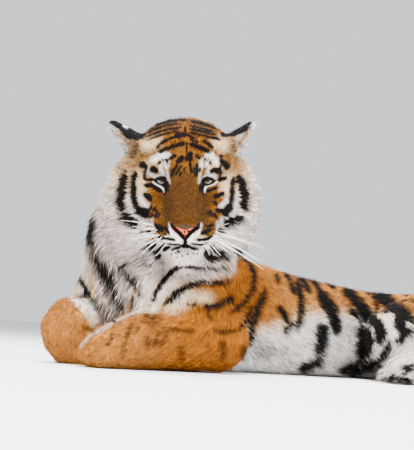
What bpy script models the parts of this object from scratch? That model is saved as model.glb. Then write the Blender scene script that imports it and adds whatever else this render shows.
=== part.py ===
"""A Siberian tiger lying at rest with its head raised, as a still life-size museum model.

The whole animal is built from lofted tubes and muscle-shaped ellipsoids, joined into one smooth
body by a voxel remesh, and then parted into named pieces by thin curved cuts. The solids show
the outline out to the tips of the winter coat. Metres, +Z up; the hips lie towards +X, the
animal's own left side faces -Y, and the origin is under the middle of the model on the floor.
"""

import math

import bmesh
import bpy
import numpy as np
from mathutils import Matrix, Vector

# ---- Driving dimensions ----
VOXEL = 0.0055  # grid of the remesh that joins the masses
CUT = 0.0006  # gap left by a thin cut between two pieces
FINE_BUDGET = 8400  # triangles of the whole body at the head's fineness
FACE_BUDGET = 2800  # triangles of the whole body before it is parted
ZONE_BUDGET = 160  # triangles of the surface that a piece is cut along
NOSE_BUDGET = 180
LIMB_MARGIN = 0.020  # how far outside a limb its zone lies
EAR_MARGIN = 0.012
EAR_ZONE = (0.008, 130)  # grid and triangles of the surface that an ear is cut along
TAIL_ZONE = (0.012, 200)
NECK_ZONE_GRID = 0.020
NOSE_GAP = 0.0012

EYE_HEIGHT = 0.495  # eyes above the floor
EYE_SPACING = 0.122
EYE_RADIUS = 0.018
EYE_AHEAD = -0.007  # middle of the eyeball in the head frame
EYE_UP = 0.004
EYE_GAP = 0.0005
HEAD_TURN = math.radians(60)  # the head looks this far to the animal's left of -X
HEAD_PITCH = math.radians(31)  # muzzle lowered below level
HEAD_ROLL = math.radians(-4)

CHEST = Vector((0.097, 0.268))  # middle of the shoulders, in plan
CHEST_HEADING = math.radians(22)  # the chest points this far to the left of -X
HIP_HEADING = math.radians(-20)
SPINE_LENGTH = 1.13  # from the middle of the shoulders to the root of the tail


# ---- Frames ----
def heading_vector(angle):
    """Horizontal unit vector that points the given angle to the animal's left of -X."""
    return Vector((-math.cos(angle), -math.sin(angle), 0.0))


def spine_heading(s):
    """Direction of the spine at a distance s behind the middle of the shoulders."""
    share = min(max(s / (0.85 * SPINE_LENGTH), -0.2), 1.0)
    return CHEST_HEADING + (HIP_HEADING - CHEST_HEADING) * share


def spine_plan(s, steps=40):
    """Point of the spine in plan at a distance s behind the middle of the shoulders."""
    place = Vector((CHEST.x, CHEST.y, 0.0))
    for i in range(steps):
        place -= heading_vector(spine_heading(s * (i + 0.5) / steps)) * (s / steps)
    return place


def head_matrix():
    """Head frame: origin between the eyes, X to the animal's left, Y forward, Z up."""
    forward = heading_vector(HEAD_TURN)
    up = Vector((0, 0, 1))
    left = up.cross(forward)
    level = Matrix((left, forward, up)).transposed().to_4x4()
    tilt = Matrix.Rotation(-HEAD_PITCH, 4, "X")
    roll = Matrix.Rotation(HEAD_ROLL, 4, "Y")
    return Matrix.Translation((0, 0, EYE_HEIGHT)) @ level @ roll @ tilt


HEAD = head_matrix()


def on_head(side, ahead, up):
    """World place of a point given in the head frame."""
    return HEAD @ Vector((side, ahead, up))


# ---- Basic shapes, each a bmesh with outward faces ----
def ring(centre, side, up, half_width, rise, drop, power=2.0, count=28):
    """Points of a superellipse section with its own height above and below the centre."""
    points = []
    for i in range(count):
        angle = 2 * math.pi * i / count
        c, s = math.cos(angle), math.sin(angle)
        across = math.copysign(abs(c) ** (2 / power), c) * half_width
        along = math.copysign(abs(s) ** (2 / power), s) * (rise if s > 0 else drop)
        points.append(centre + side * across + up * along)
    return points


def loft(rings):
    """Closed tube through rings of the same number of points."""
    mesh = bmesh.new()
    loops = [[mesh.verts.new(p) for p in points] for points in rings]
    for first, second in zip(loops, loops[1:]):
        for i in range(len(first)):
            j = (i + 1) % len(first)
            mesh.faces.new((first[i], first[j], second[j], second[i]))
    mesh.faces.new(loops[0])
    mesh.faces.new(loops[-1])
    bmesh.ops.recalc_face_normals(mesh, faces=mesh.faces)
    return mesh


def smooth_row(rows, count):
    """Catmull-Rom samples through rows of numbers, evenly in the row index."""
    data = np.array([rows[0], *rows, rows[-1]], float)
    made = []
    for t in np.linspace(0, len(rows) - 1, count):
        i = min(int(t), len(rows) - 2)
        f = t - i
        a, b, c, d = data[i : i + 4]
        made.append(
            0.5 * (2 * b + (c - a) * f + (2 * a - 5 * b + 4 * c - d) * f**2 + (3 * b - a - 3 * c + d) * f**3)
        )
    return made


def limb(stations, flatten=1.0, grow=0.0, count=None):
    """Round tube through (x, y, z, radius) stations with domed ends. flatten scales its height."""
    rows = smooth_row(stations, count or 6 * len(stations))
    centres = [Vector(r[:3]) for r in rows]
    radii = [r[3] + grow for r in rows]
    rings = []
    for i, (centre, radius) in enumerate(zip(centres, radii)):
        tangent = (centres[min(i + 1, len(rows) - 1)] - centres[max(i - 1, 0)]).normalized()
        side = tangent.cross(Vector((0, 0, 1)))
        side = side.normalized() if side.length > 0.2 else Vector((0, 1, 0))
        up = side.cross(tangent)
        domes = []
        if i == 0:
            domes = [(-math.cos(a) * radius, math.sin(a)) for a in np.linspace(0.25, 1.3, 4)]
        if i == len(rows) - 1:
            domes = [(math.cos(a) * radius, math.sin(a)) for a in np.linspace(1.3, 0.25, 4)]
        here = [(centre + tangent * off, radius * share) for off, share in domes]
        here = here + [(centre, radius)] if i == 0 else [(centre, radius)] + here
        for place, r in here:
            rings.append(ring(place, side, up, r, r * flatten, r * flatten))
    return loft(rings)


def blob(centre, radii, turn=None, grow=0.0, count=26):
    """Ellipsoid with radii along the axes of the given rotation."""
    mesh = bmesh.new()
    bmesh.ops.create_uvsphere(mesh, u_segments=count, v_segments=count // 2 + 3, radius=1.0)
    size = Matrix.Diagonal((radii[0] + grow, radii[1] + grow, radii[2] + grow, 1.0))
    rotation = turn.to_3x3().normalized().to_4x4() if turn else Matrix.Identity(4)
    mesh.transform(Matrix.Translation(centre) @ rotation @ size)
    mesh.normal_update()
    bmesh.ops.recalc_face_normals(mesh, faces=mesh.faces)
    return mesh


def head_blob(side, ahead, up, radii, grow=0.0, count=26):
    """Ellipsoid placed and turned in the head frame; radii are side, ahead and up."""
    return blob(on_head(side, ahead, up), radii, HEAD, grow, count)


def head_loft(stations, count=24):
    """Tube along the head, from (ahead, middle height, half width, half height, power)."""
    side, up = HEAD.col[0].to_3d(), HEAD.col[2].to_3d()
    rows = smooth_row(stations, 5 * len(stations))
    rings = [ring(on_head(0, a, m), side, up, w, h, h, n, count) for a, m, w, h, n in rows]
    return loft(rings)


# ---- Masses of the body ----
def trunk_masses():
    """Rib cage, loin and rump as one tube along the bent spine, lying flat on the floor."""
    #            s      half width  top    bottom  squareness
    stations = [
        (-0.15, 0.085, 0.260, 0.100, 2.0),
        (-0.09, 0.140, 0.325, 0.030, 2.1),
        (0.00, 0.175, 0.378, -0.012, 2.2),
        (0.14, 0.190, 0.358, -0.012, 2.3),
        (0.30, 0.196, 0.330, -0.012, 2.4),
        (0.46, 0.192, 0.305, -0.012, 2.4),
        (0.62, 0.180, 0.284, -0.012, 2.4),
        (0.78, 0.168, 0.270, -0.012, 2.3),
        (0.93, 0.160, 0.268, -0.010, 2.2),
        (1.04, 0.142, 0.262, 0.010, 2.1),
        (1.12, 0.100, 0.238, 0.055, 2.0),
        (1.16, 0.055, 0.215, 0.095, 2.0),
    ]
    rings = []
    for s, half, top, bottom, power in smooth_row(stations, 4 * len(stations)):
        plan = spine_plan(s)
        side = heading_vector(spine_heading(s) + math.pi / 2)
        middle = (top + bottom) / 2
        height = (top - bottom) / 2
        centre = plan + Vector((0, 0, middle))
        rings.append(ring(centre, side, Vector((0, 0, 1)), half, height, height, power, 36))
    return [loft(rings)]


NECK = [
    (0.165, 0.325, 0.205, 0.175),
    (0.115, 0.272, 0.270, 0.208),
    (0.084, 0.230, 0.330, 0.220),
    (0.072, 0.190, 0.390, 0.206),
    (0.066, 0.152, 0.445, 0.164),
]


def breast_mass(grow=0.0):
    return blob(Vector((0.030, 0.205, 0.165)), (0.160, 0.165, 0.185), grow=grow)


def neck_masses():
    """Thick maned neck from the shoulders up to the back of the skull, and the breast."""
    return [limb(NECK), breast_mass()]


FORE = {
    # shoulder, elbow, wrist and toe places, with radii
    "left": {
        "shoulder": (0.090, 0.125, 0.205),
        "shoulder_radii": (0.150, 0.105, 0.130),
        "arm": [(0.050, 0.105, 0.215, 0.100), (0.115, 0.100, 0.165, 0.098), (0.185, 0.095, 0.095, 0.086)],
        "forearm": [
            (0.190, 0.090, 0.088, 0.088),
            (0.105, 0.070, 0.090, 0.088),
            (0.010, 0.052, 0.085, 0.082),
            (-0.075, 0.038, 0.076, 0.077),
        ],
        "paw": [(-0.075, 0.038, 0.076, 0.077), (-0.135, 0.029, 0.061, 0.073), (-0.188, 0.023, 0.047, 0.062)],
    },
    "right": {
        "shoulder": (0.015, 0.365, 0.190),
        "shoulder_radii": (0.140, 0.092, 0.120),
        "arm": [(-0.030, 0.340, 0.195, 0.092), (0.020, 0.375, 0.150, 0.092), (0.070, 0.410, 0.088, 0.078)],
        "forearm": [
            (0.075, 0.410, 0.080, 0.076),
            (-0.015, 0.355, 0.086, 0.076),
            (-0.105, 0.290, 0.100, 0.070),
            (-0.180, 0.236, 0.110, 0.069),
        ],
        "paw": [
            (-0.184, 0.233, 0.110, 0.071),
            (-0.196, 0.224, 0.082, 0.076),
            (-0.176, 0.222, 0.050, 0.070),
            (-0.150, 0.224, 0.042, 0.058),
        ],
    },
}

HIND = {
    "left": {
        "thigh": [(1.010, 0.115, 0.160, 0.112), (0.890, 0.090, 0.152, 0.114), (0.775, 0.060, 0.135, 0.092)],
        "shank": [(0.775, 0.050, 0.122, 0.084), (0.880, 0.020, 0.090, 0.070), (0.985, -0.010, 0.062, 0.056)],
        "foot": [(0.990, -0.015, 0.055, 0.053), (0.880, -0.035, 0.048, 0.050), (0.770, -0.052, 0.042, 0.054),
                 (0.715, -0.060, 0.036, 0.048)],
    },
    "right": {
        "thigh": [(1.060, 0.270, 0.165, 0.112), (0.950, 0.330, 0.155, 0.114), (0.840, 0.385, 0.132, 0.090)],
        "shank": [(0.840, 0.392, 0.120, 0.082), (0.950, 0.410, 0.085, 0.068), (1.055, 0.420, 0.060, 0.055)],
        "foot": [(1.060, 0.422, 0.054, 0.052), (0.960, 0.448, 0.047, 0.050), (0.855, 0.470, 0.041, 0.053),
                 (0.800, 0.478, 0.036, 0.047)],
    },
}

TAIL = [
    (1.130, 0.150, 0.190, 0.062),
    (1.220, 0.118, 0.142, 0.052),
    (1.300, 0.075, 0.085, 0.047),
    (1.385, 0.010, 0.045, 0.045),
    (1.455, -0.080, 0.040, 0.044),
    (1.480, -0.190, 0.039, 0.043),
    (1.450, -0.300, 0.038, 0.042),
    (1.375, -0.385, 0.037, 0.041),
    (1.275, -0.425, 0.036, 0.039),
    (1.180, -0.430, 0.032, 0.034),
    (1.140, -0.425, 0.028, 0.026),
]


def foreleg_masses(side, grow=0.0):
    part = FORE[side]
    turn = Matrix.Rotation(CHEST_HEADING, 4, "Z")
    return [
        blob(Vector(part["shoulder"]), part["shoulder_radii"], turn, grow),
        limb(part["arm"], grow=grow),
        limb(part["forearm"], grow=grow),
        limb(part["paw"], flatten=0.92, grow=grow),
    ]


def hindleg_masses(side, grow=0.0):
    part = HIND[side]
    return [limb(part["thigh"], grow=grow), limb(part["shank"], grow=grow), limb(part["foot"], grow=grow)]


def toes(stations, spread, radius, reach):
    """Four toe pads in a row ahead of the last station of a paw."""
    tip, before = Vector(stations[-1][:3]), Vector(stations[-2][:3])
    ahead = (tip - before).normalized()
    side = ahead.cross(Vector((0, 0, 1))).normalized()
    made = []
    for k in range(4):
        across = (k - 1.5) * spread
        forward = reach - 0.25 * abs(across)
        place = tip + ahead * forward + side * across - Vector((0, 0, 0.010))
        made.append(blob(place, (radius * 1.15, radius, radius)))
    return made


# ---- Head ----
RUFF_SHIFT = -0.007  # the loose ruff hangs a little to the animal's right


def head_masses():
    """Skull, muzzle, cheeks and ruff."""
    #             ahead   middle  width  height power
    skull = [
        (-0.215, -0.045, 0.105, 0.095, 2.0),
        (-0.170, -0.025, 0.134, 0.132, 2.0),
        (-0.110, -0.016, 0.144, 0.150, 2.1),
        (-0.060, -0.030, 0.138, 0.140, 2.1),
        (-0.020, -0.055, 0.122, 0.106, 2.2),
        (0.015, -0.078, 0.104, 0.080, 2.3),
        (0.055, -0.090, 0.088, 0.072, 2.4),
        (0.100, -0.098, 0.077, 0.066, 2.4),
        (0.130, -0.104, 0.064, 0.058, 2.3),
        (0.148, -0.106, 0.046, 0.045, 2.1),
    ]
    bridge = [
        (-0.110, 0.074, 0.080, 0.062, 2.1),
        (-0.040, 0.050, 0.060, 0.048, 2.1),
        (0.010, 0.018, 0.043, 0.040, 2.2),
        (0.060, -0.010, 0.046, 0.036, 2.4),
        (0.110, -0.039, 0.050, 0.034, 2.4),
        (0.150, -0.062, 0.044, 0.030, 2.2),
    ]
    masses = [head_loft(skull), head_loft(bridge)]
    masses.append(head_blob(0, 0.108, -0.167, (0.052, 0.048, 0.042)))  # chin
    masses.append(head_blob(0, 0.020, -0.155, (0.088, 0.100, 0.048)))  # floor of the mouth
    masses.append(head_blob(0, -0.095, 0.042, (0.112, 0.085, 0.091)))  # crown
    masses.append(head_blob(0, -0.035, 0.020, (0.094, 0.052, 0.060)))  # forehead between the brows
    masses.append(head_blob(0, 0.080, -0.072, (0.066, 0.066, 0.046)))  # fullness beside the bridge
    for hand in (1, -1):
        masses.append(head_blob(hand * 0.042, 0.110, -0.108, (0.045, 0.048, 0.041)))  # whisker pad
        masses.append(head_blob(hand * 0.064, -0.044, 0.036, (0.056, 0.044, 0.036)))  # brow
        masses.append(head_blob(hand * 0.088, -0.045, -0.055, (0.056, 0.072, 0.062)))  # cheekbone
        masses.append(head_blob(hand * 0.128 + RUFF_SHIFT, -0.090, -0.056, (0.066, 0.082, 0.086)))  # cheek
        masses.append(head_blob(hand * 0.140 + RUFF_SHIFT, -0.110, -0.095, (0.074, 0.070, 0.090)))  # back of the cheek
        masses.append(head_blob(hand * 0.130 + RUFF_SHIFT, -0.080, -0.130, (0.080, 0.080, 0.085)))  # ruff
        masses.append(head_blob(hand * 0.100 + RUFF_SHIFT, -0.060, -0.180, (0.085, 0.080, 0.062)))  # lower ruff
    return masses


EAR_BASE = (0.117, -0.112, 0.056)  # in the head frame, on the animal's left
EAR_TIPS = {1: (0.189, -0.148, 0.101), -1: (-0.205, -0.148, 0.103)}  # left and right, turned a little apart
EAR_HOLLOW = (0.40, 0.66, -0.48)  # the way that the hollow faces
EAR_HALF_WIDTH = 0.044
EAR_CUP = 0.022  # how far the rims stand forward of the middle


def ear_masses(hand, grow=0.0):
    """Short rounded ear that leans out sideways, its hollow facing ahead, out and down."""
    base = Vector((hand * EAR_BASE[0], *EAR_BASE[1:]))
    tip = Vector(EAR_TIPS[hand])
    along = (tip - base).normalized()
    across = Vector((hand * EAR_HOLLOW[0], *EAR_HOLLOW[1:])).cross(along).normalized() * hand
    out = along.cross(across).normalized() * hand
    rings = []
    #         share  width   thickness
    profile = [(-0.22, 0.048, 0.022), (0.00, 0.052, 0.018), (0.25, 0.052, 0.014), (0.50, 0.047, 0.011),
               (0.75, 0.038, 0.0095), (0.92, 0.026, 0.008), (1.00, 0.014, 0.006)]
    for share, width, thick in smooth_row(profile, 16):
        centre = base + (tip - base) * share
        points = ring(centre, across, out, width + grow, thick + grow, thick + grow, 2.2, 20)
        bent = []
        for p in points:
            off = (p - centre).dot(across) / EAR_HALF_WIDTH
            bent.append(HEAD @ (p + out * EAR_CUP * (off * off - 0.4)))
        rings.append(bent)
    return [loft(rings)]


def eye_place(hand):
    return on_head(hand * EYE_SPACING / 2, EYE_AHEAD, EYE_UP)


def eyeball(hand, grow=0.0):
    return blob(eye_place(hand), (EYE_RADIUS,) * 3, HEAD, grow, count=14)


def eye_opening(hand):
    """Eye socket with its almond-shaped way out between the lids."""
    lids = on_head(hand * (EYE_SPACING / 2 + 0.001), EYE_AHEAD + 0.026, EYE_UP - 0.001)
    lids = blob(lids, (0.020, 0.028, 0.013), HEAD, count=10)
    return [new_object("socket", eyeball(hand, EYE_GAP)), new_object("lids", lids)]


def nose_masses():
    """Nose pad with its two wings."""
    pad = head_blob(0, 0.150, -0.067, (0.036, 0.018, 0.021))
    septum = head_blob(0, 0.148, -0.088, (0.014, 0.015, 0.018))
    wings = [head_blob(hand * 0.024, 0.145, -0.069, (0.018, 0.018, 0.018)) for hand in (1, -1)]
    return [pad, septum, *wings]


# ---- Joining and parting ----
def new_object(name, mesh):
    if isinstance(mesh, bmesh.types.BMesh):
        data = bpy.data.meshes.new(name)
        mesh.to_mesh(data)
        mesh.free()
        mesh = data
    obj = bpy.data.objects.new(name, mesh)
    bpy.context.scene.collection.objects.link(obj)
    return obj


def remove(obj):
    bpy.data.objects.remove(obj)


def joined(name, masses):
    """One object that holds all of the masses as separate closed shells."""
    whole = bmesh.new()
    for mass in masses:
        shell = bpy.data.meshes.new("shell")
        mass.to_mesh(shell)
        mass.free()
        whole.from_mesh(shell)
        bpy.data.meshes.remove(shell)
    return new_object(name, whole)


def applied(obj):
    """The object with its modifiers made real."""
    graph = bpy.context.evaluated_depsgraph_get()
    mesh = bpy.data.meshes.new_from_object(obj.evaluated_get(graph))
    obj.modifiers.clear()
    obj.data = mesh
    return obj


def fused(name, masses, voxel, rounds):
    """The masses joined into one closed skin, with its creases smoothed."""
    obj = joined(name, masses)
    remesh = obj.modifiers.new("fuse", "REMESH")
    remesh.mode = "VOXEL"
    remesh.voxel_size = voxel
    smooth = obj.modifiers.new("soften", "SMOOTH")
    smooth.factor = 0.5
    smooth.iterations = rounds
    return applied(obj)


def thinned(obj, triangles, group=None):
    """About this many triangles, thinned only where the vertex group has weight when one is named."""
    collapse = obj.modifiers.new("thin", "DECIMATE")
    collapse.ratio = triangles / sum(len(face.vertices) - 2 for face in obj.data.polygons)
    if group:
        collapse.vertex_group = group
    return applied(obj)


def cut_by(obj, tool, operation, name):
    """A copy of obj after an exact Boolean with tool."""
    made = new_object(name, obj.data.copy())
    boolean = made.modifiers.new("cut", "BOOLEAN")
    boolean.operation = operation
    boolean.object = tool
    boolean.solver = "EXACT"
    return applied(made)


def main_shell(obj):
    """Keeps the largest connected shell of the object, and drops slivers beside it."""
    mesh = bmesh.new()
    mesh.from_mesh(obj.data)
    seen, shells = set(), []
    for start in mesh.verts:
        if start in seen:
            continue
        shell, todo = [], [start]
        seen.add(start)
        while todo:
            vert = todo.pop()
            shell.append(vert)
            for edge in vert.link_edges:
                other = edge.other_vert(vert)
                if other not in seen:
                    seen.add(other)
                    todo.append(other)
        shells.append(shell)
    shells.sort(key=len)
    for shell in shells[:-1]:
        bmesh.ops.delete(mesh, geom=shell, context="VERTS")
    bmesh.ops.triangulate(mesh, faces=mesh.faces)
    mesh.to_mesh(obj.data)
    mesh.free()
    return obj


def grown(zone, distance):
    """A copy of a zone pushed out along its normals."""
    copy = new_object("grown_zone", zone.data.copy())
    for vert in copy.data.vertices:
        vert.co += vert.normal * distance
    return copy


def hollowed(obj, tools):
    """The object with each of the tools cut out of it."""
    for tool in tools:
        rest = main_shell(cut_by(obj, tool, "DIFFERENCE", obj.name))
        remove(tool)
        remove(obj)
        obj = rest
    obj.name = "head"
    return obj


def parted(body, name, zone, cut=CUT):
    """Splits the piece inside the zone off the body, and leaves a thin gap: (piece, rest)."""
    wider = grown(zone, cut)
    piece = main_shell(cut_by(body, zone, "INTERSECT", name))
    rest = main_shell(cut_by(body, wider, "DIFFERENCE", "rest"))
    for used in (zone, wider, body):
        remove(used)
    return piece, rest


def joined_zone(masses, voxel=0.012, triangles=ZONE_BUDGET):
    """A coarse smooth zone round several masses."""
    return thinned(fused("zone", masses, voxel, 4), triangles)


def cut_floor(obj):
    """Flattens everything below the floor to small flats at its level."""
    mesh = bmesh.new()
    mesh.from_mesh(obj.data)
    geometry = mesh.verts[:] + mesh.edges[:] + mesh.faces[:]
    bmesh.ops.bisect_plane(mesh, geom=geometry, plane_co=(0, 0, 0), plane_no=(0, 0, -1), clear_outer=True)
    bmesh.ops.holes_fill(mesh, edges=[e for e in mesh.edges if e.is_boundary])
    bmesh.ops.triangulate(mesh, faces=mesh.faces)
    mesh.to_mesh(obj.data)
    mesh.free()


def weigh_body(obj, centre, near, far):
    """Vertex group that is 0 on the head and 1 on the rest of the body."""
    group = obj.vertex_groups.new(name="plain")
    for vert in obj.data.vertices:
        away = (vert.co - centre).length
        group.add([vert.index], min(max((away - near) / (far - near), 0.0), 1.0), "REPLACE")


def whole_body():
    """The tiger without its eyes and nose, as one closed skin."""
    masses = trunk_masses() + neck_masses() + head_masses() + [limb(TAIL)]
    for side in ("left", "right"):
        masses += foreleg_masses(side) + hindleg_masses(side)
        masses += toes(FORE[side]["paw"], 0.030, 0.026, 0.040)
        masses += toes(HIND[side]["foot"], 0.025, 0.022, 0.030)
    for hand in (1, -1):
        masses += ear_masses(hand)
    body = main_shell(fused("body", masses, VOXEL, 9))
    body = thinned(body, FINE_BUDGET)
    weigh_body(body, on_head(0, 0.06, -0.05), 0.10, 0.26)
    body = thinned(body, FACE_BUDGET, "plain")
    cut_floor(body)
    return body


FINISHES = {
    "coat": ((0.55, 0.27, 0.09), 0.85),
    "pale_coat": ((0.72, 0.68, 0.60), 0.90),
    "ear_coat": ((0.10, 0.08, 0.07), 0.90),
    "nose_leather": ((0.42, 0.20, 0.17), 0.55),
    "eye": ((0.30, 0.33, 0.22), 0.08),
}
SLOTS = {"ear": "ear_coat", "eye": "eye", "nose": "nose_leather", "neck": "pale_coat"}
SHARP_ANGLE = math.radians(50)


def material(name, colour, roughness):
    """The named finish, made once."""
    if name in bpy.data.materials:
        return bpy.data.materials[name]
    made = bpy.data.materials.new(name)
    made.use_nodes = True
    shader = made.node_tree.nodes["Principled BSDF"]
    shader.inputs["Base Color"].default_value = (*colour, 1.0)
    shader.inputs["Roughness"].default_value = roughness
    shader.inputs["Metallic"].default_value = 0.0
    return made


# ---- Parting ----
PAW_ZONES = {
    ("fore", "left"): ((-0.165, 0.032, 0.050), (0.095, 0.110, 0.110)),
    ("fore", "right"): ((-0.195, 0.228, 0.065), (0.085, 0.110, 0.118)),
    ("hind", "left"): ((0.735, -0.056, 0.045), (0.110, 0.085, 0.090)),
    ("hind", "right"): ((0.820, 0.472, 0.045), (0.110, 0.085, 0.090)),
}


HEAD_ZONE = ((0, 0.010, -0.035), (0.270, 0.215, 0.222))  # middle in the head frame, and radii
NECK_ZONE_GROW = 0.035
BREAST_ZONE_GROW = 0.020


def plain_zone(mass):
    return new_object("zone", mass)


def part_head(body):
    """Ears, eyes, nose and head, and what is left of the body."""
    nodes = []
    for hand, side in ((1, "left"), (-1, "right")):
        nodes.append(new_object("eye_" + side, eyeball(hand)))
        ear, body = parted(body, "ear_" + side, joined_zone(ear_masses(hand, EAR_MARGIN), *EAR_ZONE))
        nodes.append(ear)
    head, body = parted(body, "head", plain_zone(head_blob(*HEAD_ZONE[0], HEAD_ZONE[1], count=14)))
    for hand in (1, -1):
        head = hollowed(head, eye_opening(hand))
    nose = thinned(fused("nose", nose_masses(), 0.0035, 3), NOSE_BUDGET)
    bed = grown(nose, NOSE_GAP)
    head = hollowed(head, [bed])
    return [*nodes, head, nose], body


def part_leg(body, kind, side, masses):
    """One leg and its paw, and what is left of the body."""
    leg, body = parted(body, "leg", joined_zone(masses))
    centre, radii = PAW_ZONES[kind, side]
    paw, leg = parted(leg, f"{kind}paw_{side}", plain_zone(blob(Vector(centre), radii, count=10)))
    leg.name = f"{kind}leg_{side}"
    return [leg, paw], body


def centre_on_floor(nodes):
    """Moves the whole animal so that the middle of its box stands over the origin."""
    points = [vert.co for obj in nodes for vert in obj.data.vertices]
    middle = [(min(p[i] for p in points) + max(p[i] for p in points)) / 2 for i in (0, 1)]
    for obj in nodes:
        obj.data.transform(Matrix.Translation((-middle[0], -middle[1], 0.0)))


def paint(nodes):
    """Gives each piece its material and soft shading."""
    for obj in nodes:
        slot = SLOTS.get(obj.name.split("_")[0], "coat")
        obj.data.materials.clear()
        obj.data.materials.append(material(slot, *FINISHES[slot]))
        obj.data.shade_smooth()
        obj.data.set_sharp_from_angle(angle=SHARP_ANGLE)


def build():
    for obj in list(bpy.data.objects):
        remove(obj)
    nodes, body = part_head(whole_body())
    for side in ("left", "right"):
        for kind, masses in (("fore", foreleg_masses), ("hind", hindleg_masses)):
            pieces, body = part_leg(body, kind, side, masses(side, LIMB_MARGIN))
            nodes += pieces
    tail, body = parted(body, "tail", joined_zone([limb(TAIL, grow=LIMB_MARGIN)], *TAIL_ZONE))
    root, tail = parted(tail, "tail_root", joined_zone([limb(TAIL[:4], grow=LIMB_MARGIN)]))
    middle, tip = parted(tail, "tail_middle", joined_zone([limb(TAIL[3:7], grow=LIMB_MARGIN)]))
    tip.name = "tail_tip"
    throat = [limb(NECK[2:], grow=NECK_ZONE_GROW), breast_mass(grow=BREAST_ZONE_GROW)]
    neck, trunk = parted(body, "neck", joined_zone(throat, NECK_ZONE_GRID))
    trunk.name = "trunk"
    nodes += [root, middle, tip, neck, trunk]
    centre_on_floor(nodes)
    paint(nodes)


build()
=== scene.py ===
import math

import bmesh
import bpy
import numpy as np
from mathutils import Matrix, Vector
from mathutils.bvhtree import BVHTree


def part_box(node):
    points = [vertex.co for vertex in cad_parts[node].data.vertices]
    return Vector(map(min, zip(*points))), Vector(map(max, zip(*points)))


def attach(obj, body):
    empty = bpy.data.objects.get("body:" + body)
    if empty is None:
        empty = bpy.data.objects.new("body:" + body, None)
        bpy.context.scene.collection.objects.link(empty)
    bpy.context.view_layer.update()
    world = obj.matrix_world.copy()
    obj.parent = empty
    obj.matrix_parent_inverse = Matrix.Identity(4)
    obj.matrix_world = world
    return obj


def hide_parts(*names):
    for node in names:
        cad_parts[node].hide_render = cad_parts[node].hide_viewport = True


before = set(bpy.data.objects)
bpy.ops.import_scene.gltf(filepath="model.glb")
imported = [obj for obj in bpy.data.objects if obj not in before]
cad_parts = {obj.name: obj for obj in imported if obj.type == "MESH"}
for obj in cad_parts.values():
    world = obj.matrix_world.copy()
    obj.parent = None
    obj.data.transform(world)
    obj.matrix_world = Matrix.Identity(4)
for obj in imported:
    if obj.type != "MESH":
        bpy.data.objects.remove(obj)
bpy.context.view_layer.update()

# ---- Head frame ----
# The head is turned to its left, lowered and a little tipped. Its frame has its origin between the eyes,
# X to the animal's left, Y ahead and Z up, and it is found from the places of the two eyeballs.
HEAD_TURN = math.radians(60)
HEAD_PITCH = math.radians(31)
HEAD_ROLL = math.radians(-4)
EYE_RADIUS = 0.018
EYE_AHEAD = -0.007
EYE_UP = 0.004


def middle(node):
    low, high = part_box(node)
    return (low + high) / 2


def head_axes():
    """Columns are the head's left, ahead and up in the model's frame."""
    ahead = Vector((-math.cos(HEAD_TURN), -math.sin(HEAD_TURN), 0))
    left = Vector((0, 0, 1)).cross(ahead)
    level = Matrix((left, ahead, Vector((0, 0, 1)))).transposed()
    return level @ Matrix.Rotation(HEAD_ROLL, 3, "Y") @ Matrix.Rotation(-HEAD_PITCH, 3, "X")


HEAD_AXES = head_axes()
EYES = {1: middle("eye_left"), -1: middle("eye_right")}
HEAD_PLACE = (EYES[1] + EYES[-1]) / 2 - HEAD_AXES @ Vector((0, EYE_AHEAD, EYE_UP))
AXES = np.array(HEAD_AXES)
ORIGIN = np.array(HEAD_PLACE)


def to_head(points):
    return (points - ORIGIN) @ AXES


def from_head(points):
    return np.asarray(points, float) @ AXES.T + ORIGIN


# ---- Viewpoint, light and floor ----
# A low viewpoint, 3.6 m from the head and a hand's height above the floor, on a pale floor that runs out
# of sight. Large soft lamps stand in for an overcast sky, the strongest above and ahead of the animal.
VIEW_DISTANCE = 3.6
VIEW_HEIGHT = 0.11
VIEW_TURN = math.radians(30)  # of the sight line, from the model's +Y towards +X
VIEW_ROLL = math.radians(4)
VIEW_LENS = 110.77  # mm, on a 36 mm sensor
VIEW_AIM = (-0.01625, 0.03106)  # where the head's origin lies, right and up of the axis, per metre ahead

sight = Vector((math.sin(VIEW_TURN), math.cos(VIEW_TURN), 0))
viewpoint = HEAD_PLACE - sight * VIEW_DISTANCE
viewpoint.z = VIEW_HEIGHT


def aimed():
    """Camera matrix that puts the head's origin at VIEW_AIM."""
    yaw = pitch = 0.0
    right = Vector((0, 0, 1)).cross(-sight)
    for _ in range(20):
        level = (sight * math.cos(yaw) + right * math.sin(yaw)) * math.cos(pitch)
        turn = (level + Vector((0, 0, math.sin(pitch)))).to_track_quat("-Z", "Y")
        made = Matrix.Translation(viewpoint) @ turn.to_matrix().to_4x4() @ Matrix.Rotation(VIEW_ROLL, 4, "Z")
        seen = made.inverted() @ HEAD_PLACE
        yaw += seen.x / -seen.z - VIEW_AIM[0]
        pitch += seen.y / -seen.z - VIEW_AIM[1]
    return made


camera = bpy.data.objects.new("camera", bpy.data.cameras.new("camera"))
bpy.context.scene.collection.objects.link(camera)
bpy.context.scene.camera = camera
camera.matrix_world = aimed()
camera.data.lens = VIEW_LENS
camera.data.sensor_width = 36
VIEW_RIGHT, VIEW_TOP = (np.array(camera.matrix_world.col[i][:3]) for i in (0, 1))


LAMP_AIM = Vector((-0.1, 0.1, 0.25))
FLOOR_RADIUS = 60


def lamp(name, place, size, power, colour):
    data = bpy.data.lights.new(name, "AREA")
    data.shape = "DISK"
    data.size = size
    data.energy = power
    data.color = colour
    made = bpy.data.objects.new(name, data)
    made.location = place
    made.rotation_euler = (LAMP_AIM - Vector(place)).to_track_quat("-Z", "Y").to_euler()
    bpy.context.scene.collection.objects.link(made)


lamp("key_lamp", (-2.8, -2.9, 4.6), 2.4, 1280, (1.0, 0.97, 0.93))
lamp("side_lamp", (2.6, -4.2, 2.4), 3.0, 290, (0.95, 0.97, 1.0))
lamp("top_lamp", (0.3, 1.4, 4.6), 3.0, 760, (1.0, 1.0, 1.0))

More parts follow.
